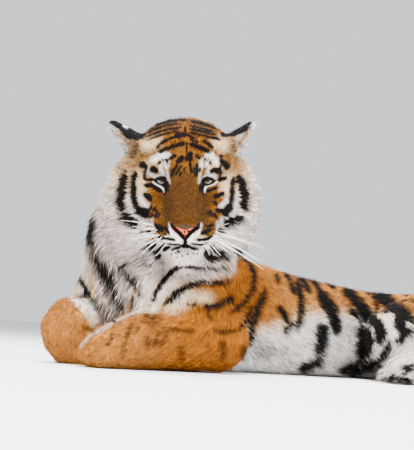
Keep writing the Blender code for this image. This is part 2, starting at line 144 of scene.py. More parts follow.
def set_inputs(node, **values):
    """Sets a node's inputs; an underscore stands for a space in an input's name."""
    for name, value in values.items():
        node.inputs[name.replace("_", " ")].default_value = value


def new_finish(name, **values):
    """A new material, its nodes, its links and its shader, with the shader's inputs set to the values."""
    made = bpy.data.materials.new(name)
    made.use_nodes = True
    shader = made.node_tree.nodes["Principled BSDF"]
    set_inputs(shader, **values)
    return made, made.node_tree.nodes, made.node_tree.links, shader


world = bpy.data.worlds.new("studio")
world.use_nodes = True
set_inputs(world.node_tree.nodes["Background"], Color=(0.93, 0.95, 1.0, 1), Strength=1.2)
bpy.context.scene.world = world

floor_mesh = bpy.data.meshes.new("floor")
floor_bm = bmesh.new()
bmesh.ops.create_circle(floor_bm, cap_ends=True, radius=FLOOR_RADIUS, segments=64)
floor_bm.to_mesh(floor_mesh)
floor_bm.free()
floor = bpy.data.objects.new("floor", floor_mesh)
bpy.context.scene.collection.objects.link(floor)
floor_mesh.materials.append(new_finish("pale floor", Base_Color=(0.80, 0.80, 0.81, 1), Roughness=0.85)[0])

# ---- Skin, as one closed surface ----
# Skin over flesh, in one piece from nose to tail. The solids of the body are joined and smoothed, and the
# face is refined for its lids, lips and creases. The solids reach out to the tips of the coat, so the next
# section draws the surface in by the coat's depth.
SKIN_GRID = 0.0042
GAP_CLOSED = 0.0008  # each solid is grown by this, which closes the cuts between them
LID_THICKNESS = 0.0028
SMOOTHING = 6
WELD = 1e-5  # corners closer than this are one

FLESH = sorted(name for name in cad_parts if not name.startswith(("eye", "nose")))


def link(name, mesh):
    made = bpy.data.objects.new(name, mesh)
    bpy.context.scene.collection.objects.link(made)
    return made


def evaluated_mesh(obj):
    """The object's mesh with its modifiers applied; the object itself is removed."""
    graph = bpy.context.evaluated_depsgraph_get()
    mesh = bpy.data.meshes.new_from_object(obj.evaluated_get(graph))
    bpy.data.objects.remove(obj)
    return mesh


def grown_solids():
    """Every solid of flesh, the nose and two closed lids, as overlapping closed shells in one mesh."""
    whole = bmesh.new()
    for name in [*FLESH, "nose"]:
        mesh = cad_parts[name].data.copy()
        one = bmesh.new()
        one.from_mesh(mesh)
        bmesh.ops.remove_doubles(one, verts=one.verts, dist=WELD)
        one.normal_update()
        for vert in one.verts:
            vert.co += vert.normal * GAP_CLOSED
        one.to_mesh(mesh)
        one.free()
        whole.from_mesh(mesh)
        bpy.data.meshes.remove(mesh)
    for place in EYES.values():
        bmesh.ops.create_uvsphere(whole, u_segments=40, v_segments=20, radius=EYE_RADIUS + LID_THICKNESS,
                                  matrix=Matrix.Translation(place))
    mesh = bpy.data.meshes.new("solids")
    whole.to_mesh(mesh)
    whole.free()
    return mesh


def remeshed(mesh, grid):
    obj = link("remeshed", mesh)
    change = obj.modifiers.new("grid", "REMESH")
    change.mode = "VOXEL"
    change.voxel_size = grid
    return evaluated_mesh(obj)


def largest_shell(mesh):
    """Leaves only the shell with the most vertices."""
    bm = bmesh.new()
    bm.from_mesh(mesh)
    bm.verts.ensure_lookup_table()
    seen = set()
    shells = []
    for start in bm.verts:
        if start.index in seen:
            continue
        seen.add(start.index)
        shell = [start]
        for vert in shell:
            for edge in vert.link_edges:
                other = edge.other_vert(vert)
                if other.index not in seen:
                    seen.add(other.index)
                    shell.append(other)
        shells.append(shell)
    shells.sort(key=len)
    for shell in shells[:-1]:
        bmesh.ops.delete(bm, geom=shell, context="VERTS")
    bm.to_mesh(mesh)
    bm.free()


def points_of(mesh):
    points = np.empty(len(mesh.vertices) * 3, np.float32)
    mesh.vertices.foreach_get("co", points)
    return points.reshape(-1, 3).astype(float)


def set_points(mesh, points):
    mesh.vertices.foreach_set("co", points.astype(np.float32).ravel())
    mesh.update()


def normals_of(mesh):
    normals = np.empty(len(mesh.vertices) * 3, np.float32)
    mesh.vertex_normals.foreach_get("vector", normals)
    return normals.reshape(-1, 3).astype(float)


def edges_of(mesh):
    ends = np.empty(len(mesh.edges) * 2, np.int32)
    mesh.edges.foreach_get("vertices", ends)
    return ends.reshape(-1, 2)


def spread(values, edges, rounds, share=0.5):
    """values, one row a vertex, evened out between neighbours over the mesh's edges."""
    values = np.array(values, float)
    flat = values.ndim == 1
    values = values.reshape(len(values), -1)
    a, b = edges.T
    degree = np.maximum(np.bincount(np.r_[a, b], minlength=len(values)), 1)[:, None]
    weight = np.broadcast_to(np.asarray(share, float).reshape(-1, 1), (len(values), 1))
    for _ in range(rounds):
        total = np.empty_like(values)
        for k in range(values.shape[1]):
            total[:, k] = np.bincount(a, values[b, k], len(values))
            total[:, k] += np.bincount(b, values[a, k], len(values))
        values = values + (total / degree - values) * weight
    return values[:, 0] if flat else values


HEAD_REACH = 0.30  # from the head's origin to the back of the ruff
BROAD_SMOOTHING = 45
PAWS = ("forepaw_left", "forepaw_right", "hindpaw_left", "hindpaw_right")


def broad_parts(points):
    """1 on trunk and limbs, where the coat hides every edge, and 0 on the head and the paws."""
    broad = np.where(np.linalg.norm(points - ORIGIN, axis=1) > HEAD_REACH, 1.0, 0.0)
    for name in PAWS:
        low, high = (np.array(corner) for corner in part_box(name))
        broad[((points > low) & (points < high)).all(1)] = 0.0
    return broad


TRUNK_NEIGHBOURS = ("hindleg_left", "hindleg_right", "tail_root", "neck", "foreleg_left", "foreleg_right")
SEAM_REACH = 0.055
SEAM_SMOOTHING = 160


def node_tree(name):
    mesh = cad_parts[name].data
    return BVHTree.FromPolygons([v.co for v in mesh.vertices], [tuple(p.vertices) for p in mesh.polygons])


def along_seams(points):
    """1 where muscle runs on from the trunk to its neighbours with no fold, fading to 0 away from there."""
    weight = np.zeros(len(points))
    trunk_tree = node_tree("trunk")
    for other in TRUNK_NEIGHBOURS:
        low, high = (np.array(corner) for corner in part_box(other))
        near = np.flatnonzero(((points > low - SEAM_REACH) & (points < high + SEAM_REACH)).all(1))
        other_tree = node_tree(other)
        away = np.array([max(trunk_tree.find_nearest(p)[3], other_tree.find_nearest(p)[3])
                         for p in points[near].tolist()])
        weight[near] = np.maximum(weight[near], np.clip(1.6 - 1.6 * away / SEAM_REACH, 0, 1))
    return weight


skin_mesh = remeshed(grown_solids(), SKIN_GRID)
largest_shell(skin_mesh)
skin_points = spread(points_of(skin_mesh), edges_of(skin_mesh), SMOOTHING)
broad = broad_parts(skin_points)
skin_points = spread(skin_points, edges_of(skin_mesh), BROAD_SMOOTHING, 0.5 * broad)
skin_points = spread(skin_points, edges_of(skin_mesh), SEAM_SMOOTHING, 0.5 * broad * along_seams(skin_points))
set_points(skin_mesh, skin_points)


PLAIN_RATIO = 0.27
HEAD_PLAINNESS = 0.35  # how readily the head is thinned, where the rest of the body is 1


def thinned(mesh, weights, ratio):
    """Collapses the mesh to a share of its triangles, mostly where weights are high."""
    obj = link("thinned", mesh)
    group = obj.vertex_groups.new(name="plain")
    for level in (HEAD_PLAINNESS, 1.0):
        chosen = np.flatnonzero(np.isclose(weights, level))
        group.add(chosen.tolist(), level, "REPLACE")
    change = obj.modifiers.new("collapse", "DECIMATE")
    change.ratio = ratio
    change.vertex_group = "plain"
    change.vertex_group_factor = 20
    change.use_collapse_triangulate = True
    return evaluated_mesh(obj)


def refined(mesh, spots, passes=4):
    """The mesh with edges near each spot (middle, reach, edge length) split until they are that short."""
    bm = bmesh.new()
    bm.from_mesh(mesh)
    for _ in range(passes):
        ends = np.array([(*e.verts[0].co, *e.verts[1].co) for e in bm.edges])
        half = (ends[:, :3] + ends[:, 3:]) / 2
        length = np.linalg.norm(ends[:, :3] - ends[:, 3:], axis=1)
        wanted = np.full(len(ends), np.inf)
        for place, reach, size in spots:
            away = np.linalg.norm(half - place, axis=1)
            wanted = np.where(away < reach, np.minimum(wanted, size), wanted)
        bm.edges.ensure_lookup_table()
        long = [bm.edges[i] for i in np.flatnonzero(length > 1.4 * wanted)]
        if not long:
            break
        bmesh.ops.subdivide_edges(bm, edges=long, cuts=1)
        bmesh.ops.triangulate(bm, faces=[f for f in bm.faces if len(f.verts) > 3])
    made = bpy.data.meshes.new("skin")
    bm.to_mesh(made)
    bm.free()
    return made


plainness = np.where(np.linalg.norm(skin_points - ORIGIN, axis=1) > HEAD_REACH, 1.0, HEAD_PLAINNESS)
skin_mesh = thinned(skin_mesh, plainness, PLAIN_RATIO)
FACE_REACH = 0.14
FACE_SMOOTHING = 5
FACE_SPOTS = [  # middle, reach and edge length: the face, the muzzle and the eyes
    (from_head((0, 0.075, -0.060)), 0.125, 0.0026),
    (from_head((0, 0.150, -0.110)), 0.060, 0.0018),
    *((np.array(place), 0.032, 0.0011) for place in EYES.values()),
]
skin_mesh = refined(skin_mesh, FACE_SPOTS)
skin_points = points_of(skin_mesh)
near_face = np.linalg.norm(skin_points - FACE_SPOTS[0][0], axis=1) < FACE_REACH
skin_points = spread(skin_points, edges_of(skin_mesh), FACE_SMOOTHING, np.where(near_face, 0.5, 0.0))
set_points(skin_mesh, skin_points)

# ---- Lie of the coat ----
# How the winter coat grows: which way the hair lies, how long it is, how deep the coat stands over the skin
# and how pale it is. Short and flat on the face and feet, long on ruff, throat and belly. Each part of the
# body has a few guides, and every point of the skin takes the mean of its part's nearest ones.
# Head guides: side, ahead, up (mm); direction; hair length, coat depth (mm); paleness. Both sides alike.
HEAD_GUIDES = [
    ((0, 150, -35), (0, -1.0, 0.5), 4, 1.6, 0.0),
    ((0, 90, 0), (0, -1.0, 0.45), 5, 1.8, 0.0),
    ((0, 30, 45), (0, -0.8, 0.6), 5, 2.0, 0.0),
    ((0, -20, 90), (0, -0.8, 0.7), 6, 2.8, 0.0),
    ((0, -90, 135), (0, -1.0, 0.2), 8, 4, 0.0),
    ((0, -170, 110), (0, -0.8, -0.5), 30, 10, 0.0),
    ((70, -90, 110), (0.6, -0.8, 0.2), 7, 3, 0.0),
    ((45, 80, -30), (0.35, -1.0, -0.1), 5, 1.8, 0.0),
    ((52, 120, -60), (0.5, -1.0, -0.1), 5, 1.8, 0.1),
    ((38, 20, -12), (0.5, -0.7, -0.2), 4, 1.2, 0.1),
    ((62, 14, 4), (0.9, -0.4, 0.1), 3, 1.2, 0.1),
    ((65, 8, -32), (0.8, -0.5, -0.35), 6, 2.0, 0.1),
    ((60, -2, 38), (0.5, -0.4, 0.8), 9, 3.0, 0.4),
    ((92, -25, 8), (0.9, -0.5, 0.1), 10, 3.5, 0.3),
    ((100, -70, 70), (0.8, -0.6, 0.3), 9, 3.5, 0.1),
    ((130, -80, 20), (0.8, -0.7, -0.2), 24, 9, 0.35),
    ((100, 0, -55), (0.9, -0.5, -0.35), 11, 4, 0.2),
    ((125, -30, -50), (0.9, -0.6, -0.4), 20, 8, 0.6),
    ((165, -80, -50), (0.8, -0.6, -0.5), 34, 13, 0.85),
    ((200, -110, -90), (0.7, -0.6, -0.6), 52, 18, 1.0),
    ((150, -150, -30), (0.5, -0.8, -0.5), 36, 13, 0.3),
    ((170, -60, -170), (0.6, -0.4, -0.9), 58, 20, 1.0),
    ((110, 0, -120), (0.7, -0.5, -0.7), 34, 11, 1.0),
    ((30, 165, -105), (0.6, -0.3, -0.6), 4, 1.4, 0.7),
    ((72, 120, -100), (0.9, -0.8, -0.3), 6, 2.0, 0.2),
    ((85, 85, -75), (0.8, -0.8, -0.2), 7, 2.5, 0.2),
    ((70, 120, -130), (0.7, -0.5, -0.5), 7, 2.5, 0.8),
    ((15, 160, -125), (0.4, 0.1, -0.9), 4, 1.2, 1.0),
    ((0, 155, -160), (0, 0.3, -1.0), 10, 3.5, 1.0),
    ((0, 110, -205), (0, -0.2, -1.0), 26, 8, 1.0),
    ((45, 125, -180), (0.4, -0.2, -0.9), 18, 6, 1.0),
    ((90, 60, -160), (0.6, -0.5, -0.7), 36, 12, 1.0),
    ((0, 40, -210), (0, -0.4, -0.9), 50, 16, 1.0),
    ((120, -20, -230), (0.4, -0.3, -0.9), 60, 20, 1.0),
]
EAR_ROOT = np.array((0.117, -0.112, 0.056))
EAR_TIP = np.array((0.197, -0.148, 0.102))
EAR_HOLLOW = np.array((0.40, 0.66, -0.48))  # the way that the ear's hollow faces, on the animal's left
# Body guides: place (m); direction; hair length, coat depth (mm); paleness.
NECK_GUIDES = [
    ((-0.66, 0.02, 0.30), (-0.05, -0.15, -1.0), 56, 18, 1.0),
    ((-0.69, 0.03, 0.20), (-0.10, -0.10, -1.0), 60, 18, 1.0),
    ((-0.70, 0.04, 0.08), (-0.15, -0.15, -1.0), 56, 15, 1.0),
    ((-0.56, -0.02, 0.30), (0.25, -0.15, -0.9), 34, 12, 0.4),
    ((-0.52, 0.00, 0.40), (0.45, 0.0, -0.8), 30, 10, 0.1),
    ((-0.74, 0.12, 0.30), (-0.20, 0.10, -1.0), 56, 18, 1.0),
    ((-0.75, 0.16, 0.15), (-0.20, 0.15, -1.0), 54, 15, 1.0),
    ((-0.72, 0.24, 0.35), (-0.15, 0.40, -0.8), 46, 15, 0.8),
    ((-0.66, 0.32, 0.42), (0.10, 0.60, -0.7), 38, 13, 0.3),
    ((-0.55, 0.32, 0.55), (0.50, 0.50, -0.5), 32, 10, 0.0),
    ((-0.42, 0.30, 0.48), (0.80, 0.30, -0.6), 30, 10, 0.0),
    ((-0.40, 0.15, 0.42), (0.80, 0.10, -0.6), 30, 10, 0.1),
]
SPINE = [
    (-0.62, 0.19, 0.30), (-0.530, 0.224, 0.37), (-0.398, 0.270, 0.35), (-0.242, 0.304, 0.32),
    (-0.083, 0.320, 0.30), (0.077, 0.316, 0.29), (0.235, 0.292, 0.285), (0.380, 0.252, 0.29),
    (0.483, 0.215, 0.285), (0.580, 0.175, 0.22),
]
LIMBS = {  # middle lines, from the body outwards
    "foreleg_left": [(-0.577, 0.061, 0.215), (-0.437, 0.046, 0.100), (-0.560, 0.022, 0.086),
                     (-0.702, -0.006, 0.068)],
    "forepaw_left": [(-0.702, -0.006, 0.068), (-0.757, -0.014, 0.058), (-0.840, -0.025, 0.030)],
    "foreleg_right": [(-0.600, 0.320, 0.215), (-0.557, 0.366, 0.100), (-0.642, 0.311, 0.086),
                      (-0.732, 0.246, 0.100)],
    "forepaw_right": [(-0.775, 0.214, 0.115), (-0.823, 0.180, 0.090), (-0.850, 0.165, 0.020)],
    "hindleg_left": [(0.430, 0.066, 0.200), (0.263, 0.041, 0.180), (0.148, 0.016, 0.130),
                     (0.253, -0.024, 0.090), (0.358, -0.054, 0.062), (0.253, -0.079, 0.048),
                     (0.170, -0.092, 0.045)],
    "hindpaw_left": [(0.170, -0.092, 0.045), (0.060, -0.104, 0.030)],
    "hindleg_right": [(0.480, 0.226, 0.200), (0.323, 0.286, 0.170), (0.213, 0.345, 0.130),
                      (0.323, 0.366, 0.085), (0.428, 0.376, 0.060), (0.333, 0.404, 0.047),
                      (0.250, 0.424, 0.043)],
    "hindpaw_right": [(0.250, 0.424, 0.043), (0.140, 0.438, 0.030)],
    "tail_root": [(0.503, 0.106, 0.205), (0.593, 0.074, 0.150), (0.673, 0.031, 0.085),
                  (0.758, -0.034, 0.045)],
    "tail_middle": [(0.758, -0.034, 0.045), (0.828, -0.124, 0.040), (0.853, -0.234, 0.039),
                    (0.823, -0.344, 0.038)],
    "tail_tip": [(0.823, -0.344, 0.038), (0.748, -0.429, 0.037), (0.648, -0.469, 0.036),
                 (0.500, -0.470, 0.030)],
}
LIMB_HAIR = {  # hair length and coat depth (mm)
    "foreleg": (23, 6), "forepaw": (14, 4), "hindleg": (28, 8), "hindpaw": (34, 8), "tail": (30, 9),
}
# Trunk guides round each stretch of the spine: share of the half width, metres below the spine, how far the
# hair turns down, paleness.
TRUNK_GUIDES = [(0, 0.0, 0.0, 0.0), (0.7, 0.05, 0.25, 0.0), (1.0, 0.15, 0.45, 0.35), (1.05, 0.26, 0.6, 1.0)]
TRUNK_HALF_WIDTH = 0.17
EAR_HAIR = 0.007
EAR_TUFT = 0.017  # how much longer the hair in the ear's hollow is
EAR_DEPTH = 0.0022
BELLY_LINE = 0.130  # height at which the flank turns white
LINE_BLUR = 0.040
SKIN_FLOOR = 0.002
FIELD_ROUNDS = 14


def smooth_step(low, high, value):
    t = np.clip((value - low) / (high - low), 0, 1)
    return t * t * (3 - 2 * t)


def unit(rows):
    rows = np.asarray(rows, float)
    return rows / np.maximum(np.linalg.norm(rows, axis=-1, keepdims=True), 1e-9)


def along_line(points, step):
    """(places, unit directions) every step metres along a line of points."""
    points = np.array(points, float)
    runs = np.linalg.norm(np.diff(points, axis=0), axis=1)
    at = np.r_[0, np.cumsum(runs)]
    t = np.linspace(0, at[-1], max(2, int(at[-1] / step) + 1))
    places = np.stack([np.interp(t, at, points[:, k]) for k in range(3)], axis=1)
    return places, unit(np.gradient(places, axis=0))


def guide_rows(part):
    """The guides of one part of the body: place, direction, length, depth and paleness in one row."""
    if part == "head":
        rows = []
        for hand in (1, -1):
            for place, way, length, depth, pale in HEAD_GUIDES:
                flip = np.array((hand, 1, 1))
                spot = from_head(np.array(place) * flip / 1000)
                rows.append((*spot, *(AXES @ unit(np.array(way) * flip)), length / 1000, depth / 1000, pale))
        return np.array(rows)
    if part == "neck":
        return np.array([(*place, *unit(way), length / 1000, depth / 1000, pale)
                         for place, way, length, depth, pale in NECK_GUIDES])
    if part == "trunk":
        rows = []
        places, ways = along_line(SPINE, 0.10)
        for place, way in zip(places, ways):
            side = unit(np.cross((0, 0, 1), way))
            for share, level, drop, pale in TRUNK_GUIDES:
                for hand in (1, -1):
                    spot = place + side * hand * share * TRUNK_HALF_WIDTH - np.array((0, 0, level))
                    lie = unit(way - np.array((0, 0, drop)) + side * hand * 0.12 * share)
                    rows.append((*spot, *lie, 0.022 + 0.018 * pale, 0.008 + 0.004 * pale, pale))
        return np.array(rows)
    length, depth = LIMB_HAIR[part.split("_")[0]]
    places, ways = along_line(LIMBS[part], 0.05)
    drop = 0.0 if part.startswith("tail") else 0.25
    if part.startswith("hindleg"):
        thigh = (ways[:, 0] < 0) & (places[:, 2] > 0.10)
        ways[thigh] = (0.55, 0.0, -0.50)
    return np.array([(*place, *unit(way - np.array((0, 0, drop))), length / 1000, depth / 1000, 0.0)
                     for place, way in zip(places, ways)])


def nearest_part(points):
    """The CAD node that lies nearest to each point."""
    corners, faces, owner = [], [], []
    for number, name in enumerate(FLESH):
        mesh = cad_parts[name].data
        start = len(corners)
        corners += [v.co.copy() for v in mesh.vertices]
        faces += [[start + i for i in p.vertices] for p in mesh.polygons]
        owner += [number] * len(mesh.polygons)
    tree = BVHTree.FromPolygons(corners, faces)
    return np.array([owner[tree.find_nearest(p)[2]] for p in points.tolist()])


def coat_fields(points, normals, edges):
    """At every vertex of the skin: its part, then the hair's direction and length, the coat's depth and how
    pale it is."""
    part = nearest_part(points)
    fields = np.zeros((len(points), 6))
    for number, name in enumerate(FLESH):
        mine = np.flatnonzero(part == number)
        if not len(mine):
            continue
        if name.startswith("ear"):
            hand = 1 if name.endswith("left") else -1
            flip = np.array((hand, 1, 1))
            inside = (normals[mine] @ AXES) @ unit(EAR_HOLLOW * flip)
            along = AXES @ unit((EAR_TIP - EAR_ROOT) * flip)
            outwards = AXES @ unit(np.array((1.0, 0.1, -0.5)) * flip)
            hollow = np.clip(inside * 2.5, 0, 1)[:, None]
            fields[mine, :3] = along + outwards * hollow * 1.1
            fields[mine, 3:4] = EAR_HAIR + EAR_TUFT * hollow
            fields[mine, 4] = EAR_DEPTH
            fields[mine, 5:6] = hollow
            continue
        rows = guide_rows(name)
        away = ((points[mine, None, :] - rows[None, :, :3]) ** 2).sum(2)
        weight = 1 / (away + 1e-4) ** 2.2
        weight /= weight.sum(1, keepdims=True)
        fields[mine] = weight @ rows[:, 3:9]
        x, _, z = points[mine].T
        if name == "trunk":
            line = BELLY_LINE + 0.075 * smooth_step(-0.20, -0.04, x) - 0.12 * smooth_step(0.30, 0.42, x)
            fields[mine, 5] = smooth_step(line + LINE_BLUR, line - LINE_BLUR, z)
        if name.startswith("hind"):
            under = np.clip(-normals[mine, 2] * 2.0 - 1.2, 0, 1)
            fields[mine, 5] = np.maximum(under, smooth_step(0.235, 0.165, z) * smooth_step(0.34, 0.22, x))
    fields = spread(fields, edges, FIELD_ROUNDS)
    fields = spread(fields, edges, 2 * FIELD_ROUNDS, 0.5 * broad_parts(points))
    lie = fields[:, :3]
    lie = unit(lie - normals * (lie * normals).sum(1, keepdims=True))
    return part, lie, fields[:, 3], fields[:, 4], fields[:, 5]


edges = edges_of(skin_mesh)
outline = skin_points
normals = unit(spread(normals_of(skin_mesh), edges, 4))
part, lie, hair_length, coat_depth, paleness = coat_fields(outline, normals, edges)
skin_points = outline - normals * coat_depth[:, None]
skin_points[:, 2] = np.maximum(skin_points[:, 2], SKIN_FLOOR)

# ---- Markings ----
# Tiger stripes are in the hair and in the skin under it, so skin and coat are coloured by the same rules:
# orange above and white below, then painted shade in brown, dusky hair with grey painted shade, white
# patches and black stripes. Each stripe is drawn as a seen line on a plane through the head's origin,
# square to the line of sight, and laid on the body.
# Strokes: width, then x, y, x, y ... in mm, right and up of the head's origin.
WHITE_MARKS = [
    # brow patches
    (16, -85, 55, -71, 65, -52, 71, -39, 68),
    (8, -40, 64, -45, 50, -47, 35),
    (3, -47, 35, -44, 16, -40, -3),
    (8, -65, 48, -61, 32, -56, 22),
    (8, -94, 23, -82, 15, -68, 14, -52, 15),
    (5, -94, 39, -96, 29, -93, 22),
    (14, 55, 70, 68, 71, 80, 58, 87, 41),
    (8, 43, 63, 45, 47, 43, 32),
    (3, 43, 32, 40, 14, 38, -2),
    (8, 58, 55, 65, 39, 63, 22),
    (8, 46, 7, 58, 15, 75, 17, 88, 9),
    # rims of the forelegs
    (4, -273, -430, -251, -404, -214, -381, -178, -362, -141, -344, -98, -330, -68, -326),
    (7, -302, -302, -276, -307, -251, -335, -228, -368),
    # cheeks
    (12, -146, -23, -148, -46, -136, -78, -120, -95, -97, -105),
    (18, -120, -37, -112, -52, -98, -65),
    (14, 138, -23, 138, -42, 134, -68, 120, -89, 100, -101),
    (13, 117, -42, 107, -55, 92, -67),
    (19, -158, -110, -126, -123, -94, -136),
    (19, 165, -91, 139, -123, 107, -139),
    # muzzle pads
    (5, -39, -109, -37, -123, -28, -135),
    (14, -26, -139, -16, -149, -6, -153),
    (12, -76, -143, -65, -156, -39, -161, -6, -159),
    (8, -52, -145, -26, -149),
    (5, 44, -109, 41, -123, 31, -135),
    (14, 26, -139, 16, -149, 10, -153),
    (12, 83, -141, 68, -154, 42, -161, 10, -159),
    (5, 86, -104, 87, -133, 79, -145),
    (5, -87, -91, -84, -133, -77, -145),
    # chin
    (27, -21, -200, 2, -203, 24, -200),
    (18, -35, -194, -23, -187),
    (18, 26, -187, 40, -193),
]
STREAK_MARKS = [
    # the bright line under each eye
    (5, -85, 2, -77, -5, -65, -11, -56, -18, -54, -27),
    (5, 87, 2, 78, -6, 62, -11, 54, -16, 53, -27),
    (4, -104, -126, -90, -120),
    # edge of the ears
    (6, -160, 147, -148, 143),
    (6, 120, 142, 134, 145),
]
BLACK_MARKS = [
    # crown
    (5, -105, 134, -81, 147, -52, 155, -26, 161, -10, 162),
    (5, -103, 125, -81, 137, -52, 147, -26, 152, -10, 153),
    (5, -102, 117, -65, 132, -39, 139, -6, 143),
    (4, -99, 109, -68, 121, -39, 129, -10, 134),
    (3, 1, 145, 3, 131),
    (6, -34, 159, -13, 164, 8, 161),
    (5, -94, 142, -71, 153, -45, 160, -26, 163),
    (4, 10, 162, 39, 157, 65, 148, 86, 136),
    (4, 68, 119, 86, 115, 94, 108),
    (5, 16, 158, 42, 152, 65, 146, 78, 139),
    (5, 13, 148, 42, 141, 79, 131),
    (5, 10, 139, 42, 133, 86, 123),
    (5, 11, 130, 52, 121, 92, 111),
    (5, -26, 124, -6, 128, 8, 125),
    (8, -74, 87, -65, 99, -44, 112),
    (6, -44, 113, -23, 118, 7, 121),
    (10, -67, 77, -52, 86, -24, 95),
    (10, -21, 95, -1, 103),
    (6, 7, 123, 26, 115),
    (8, 48, 109, 65, 99, 75, 90),
    (11, 13, 100, 36, 91, 55, 83, 66, 75),
    (4, 13, 113, 37, 103),
    (2, 6, 106, 6, 71),
    # forehead
    (9, -38, 62, -23, 70),
    (10, -19, 51, -5, 67),
    (11, 16, 78, 15, 58),
    (8, 31, 69, 41, 63),
    (6, -18, 48, -28, 32, -35, 14),
    (4, -6, 45, -17, 32, -24, 17),
    (5, 7, 72, 5, 56),
    (6, 33, 48, 33, 29, 29, 14),
    (5, 14, 53, 16, 39, 20, 24),
    (3, 24, 39, 26, 22),
    (3, -10, 26, -13, 16),
    (3, 0, 39, -1, 26),
    (3, 42, 39, 40, 26),
    # right eye and brow
    (17, -88, 31, -81, 33, -74, 29),
    (6, -69, 44, -64, 54, -55, 58, -44, 58, -46, 46),
    (8, -98, 45, -104, 29, -105, 6),
    (6, -105, 6, -90, 6, -74, 4),
    (11, -106, -7, -87, -9, -69, -17, -56, -24),
    (12, -106, -31, -95, -39, -88, -48),
    # right eye's rim and tear line
    (8, -74, 2, -71, 8, -63, 11, -55, 10, -48, 5),
    (8, -75, 1, -68, -6, -57, -8, -49, -6),
    (13, -47, -2, -45, -11, -47, -20),
    (9, -52, -16, -50, -21, -52, -29),
    # left eye and brow
    (6, 58, -23, 71, -20, 86, -15),
    (10, 79, -38, 91, -34, 104, -29),
    (9, 89, 6, 97, 8, 110, 10),
    (6, 93, 45, 95, 26, 91, 6),
    (15, 98, 55, 107, 45, 113, 39),
    (6, 95, 70, 98, 66),
    (6, 54, 60, 64, 56, 70, 44),
    (11, 69, 25, 78, 32, 86, 34, 87, 24),
    # left eye's rim and tear line
    (8, 46, -1, 51, 8, 59, 10, 69, 7, 77, 3),
    (8, 48, -5, 57, -10, 68, -7, 77, 1),
    (11, 47, -7, 44, -16, 45, -21),
    (7, 46, -20, 50, -31),
    # cheek bands
    (25, -156, 26, -160, 6, -165, -23, -169, -52, -166, -75, -160, -88),
    (16, -128, 28, -134, 6, -136, -20, -132, -49, -128, -71),
    (25, -126, -76, -111, -80, -99, -82),
    (8, -102, -80, -96, -89),
    (14, 129, 14, 126, -10, 127, -33, 122, -57),
    (21, 120, -62, 111, -76, 105, -86),
    (10, 84, -72, 102, -78),
    (25, 142, 17, 153, -7, 157, -33, 157, -59, 162, -75),
    (30, -166, -91, -148, -102, -126, -111),
    (11, -115, -124, -89, -129),
    (25, 105, -113, 126, -106, 157, -96),
    (15, 91, -127, 100, -130),
    (17, -114, 47, -107, 41),
    # small marks beside the muzzle
    (5, -88, -62, -90, -71),
    (5, -77, -66, -81, -75),
    (5, -85, -84, -88, -93),
    (4, -71, -72, -78, -92),
    (3, -66, -79, -70, -94),
    (5, 78, -50, 87, -62),
    (4, 66, -72, 75, -92),
    (5, 77, -80, 85, -96),
    (3, 60, -75, 66, -91),
    # nose wings
    (9, -37, -108, -32, -117, -22, -125, -12, -134, -4, -146, 1, -152),
    (9, 42, -108, 36, -117, 25, -126, 15, -134, 7, -145, 2, -152),
    (3, -1, -130, 1, -131),
    (3, 9, -128, 10, -129),
    # whisker pads
    (5, -78, -110, -65, -118, -52, -123),
    (8, -77, -115, -67, -120, -56, -127),
    (5, -52, -118, -39, -134),
    (6, -69, -140, -52, -148, -24, -152),
    (3, -66, -154, -52, -161, -26, -164, -10, -163),
    (7, 42, -136, 55, -130, 71, -123),
    (6, 31, -152, 55, -150, 71, -143),
    (3, 15, -161, 42, -165, 68, -157),
    (5, 58, -118, 75, -111),
    (4, -81, -133, -71, -143, -56, -151),
    (4, 76, -138, 68, -146, 55, -153),
    (3, -77, -123, -65, -133),
    (3, -69, -112, -67, -114),
    (3, -56, -118, -54, -121),
    (3, -65, -127, -62, -129),
    (3, -47, -126, -44, -129),
    (3, -42, -135, -39, -137),
    (3, -52, -136, -48, -138),
    (3, 55, -115, 57, -113),
    (3, 66, -123, 69, -121),
    (3, 52, -128, 54, -126),
    (3, 45, -133, 48, -132),
    (3, 60, -138, 63, -136),
    # mouth
    (6, 2, -145, 2, -164),
    (4, 2, -164, -10, -169, -20, -173, -30, -176),
    (4, 2, -164, 12, -169, 22, -175, 32, -176),
    (5, -8, -171, 2, -169, 12, -172),
    (4, -35, -179, -23, -175, -10, -172),
    (4, 15, -173, 26, -176, 36, -177),
    (17, -95, -172, -77, -170, -56, -172),
    (11, -56, -177, -39, -172),
    (10, -84, -183, -65, -180),
    (7, -77, -202, -60, -187),
    (16, 56, -177, 60, -193, 78, -203, 104, -201, 121, -188),
    (11, 68, -177, 86, -183, 107, -186),
    (7, 68, -168, 82, -173),
    (3, -19, -181, -13, -185),
    # chin dots
    (3, -23, -185, -22, -187),
    (4, -6, -193, -5, -195),
    (3, 8, -188, 9, -190),
    (3, 23, -187, 24, -188),
    (3, -21, -196, -20, -198),
    (3, 16, -197, 17, -198),
    (3, -35, -189, -35, -190),
    (3, -15, -181, -14, -183),
    (3, 33, -188, 34, -189),
    # back of the ears
    (8, -196, 160, -187, 155),
    (11, -191, 158, -178, 148, -163, 140),
    (19, -171, 148, -152, 136, -129, 127),
    (16, -152, 125, -129, 119, -108, 124),
    (14, -166, 139, -152, 124, -139, 115),
    (14, 96, 124, 120, 127, 142, 134),
    (8, 163, 148, 174, 156),
    (16, 133, 131, 152, 140, 168, 152),
    (14, 142, 131, 155, 136, 168, 147),
]
# painted shade in dark brown: deep in the ears, beside the inner brows, down the sides of the bridge and
# beside the nose
BROWN_SHADE_MARKS = [
    (29, -134, 106, -118, 87),
    (29, 112, 103, 128, 93),
    (6, -139, 81, -126, 76),
    (14, -53, 44, -55, 26),
    (8, 53, 48, 51, 32),
    (14, -103, 87, -86, 94),
    (18, -50, -23, -46, -55, -42, -92),
    (18, 54, -23, 52, -55, 48, -92),
    (8, -65, -33, -69, -49),
    (8, 66, -33, 73, -49),
    (10, -74, -113, -52, -136),
    (10, 78, -113, 55, -136),
]
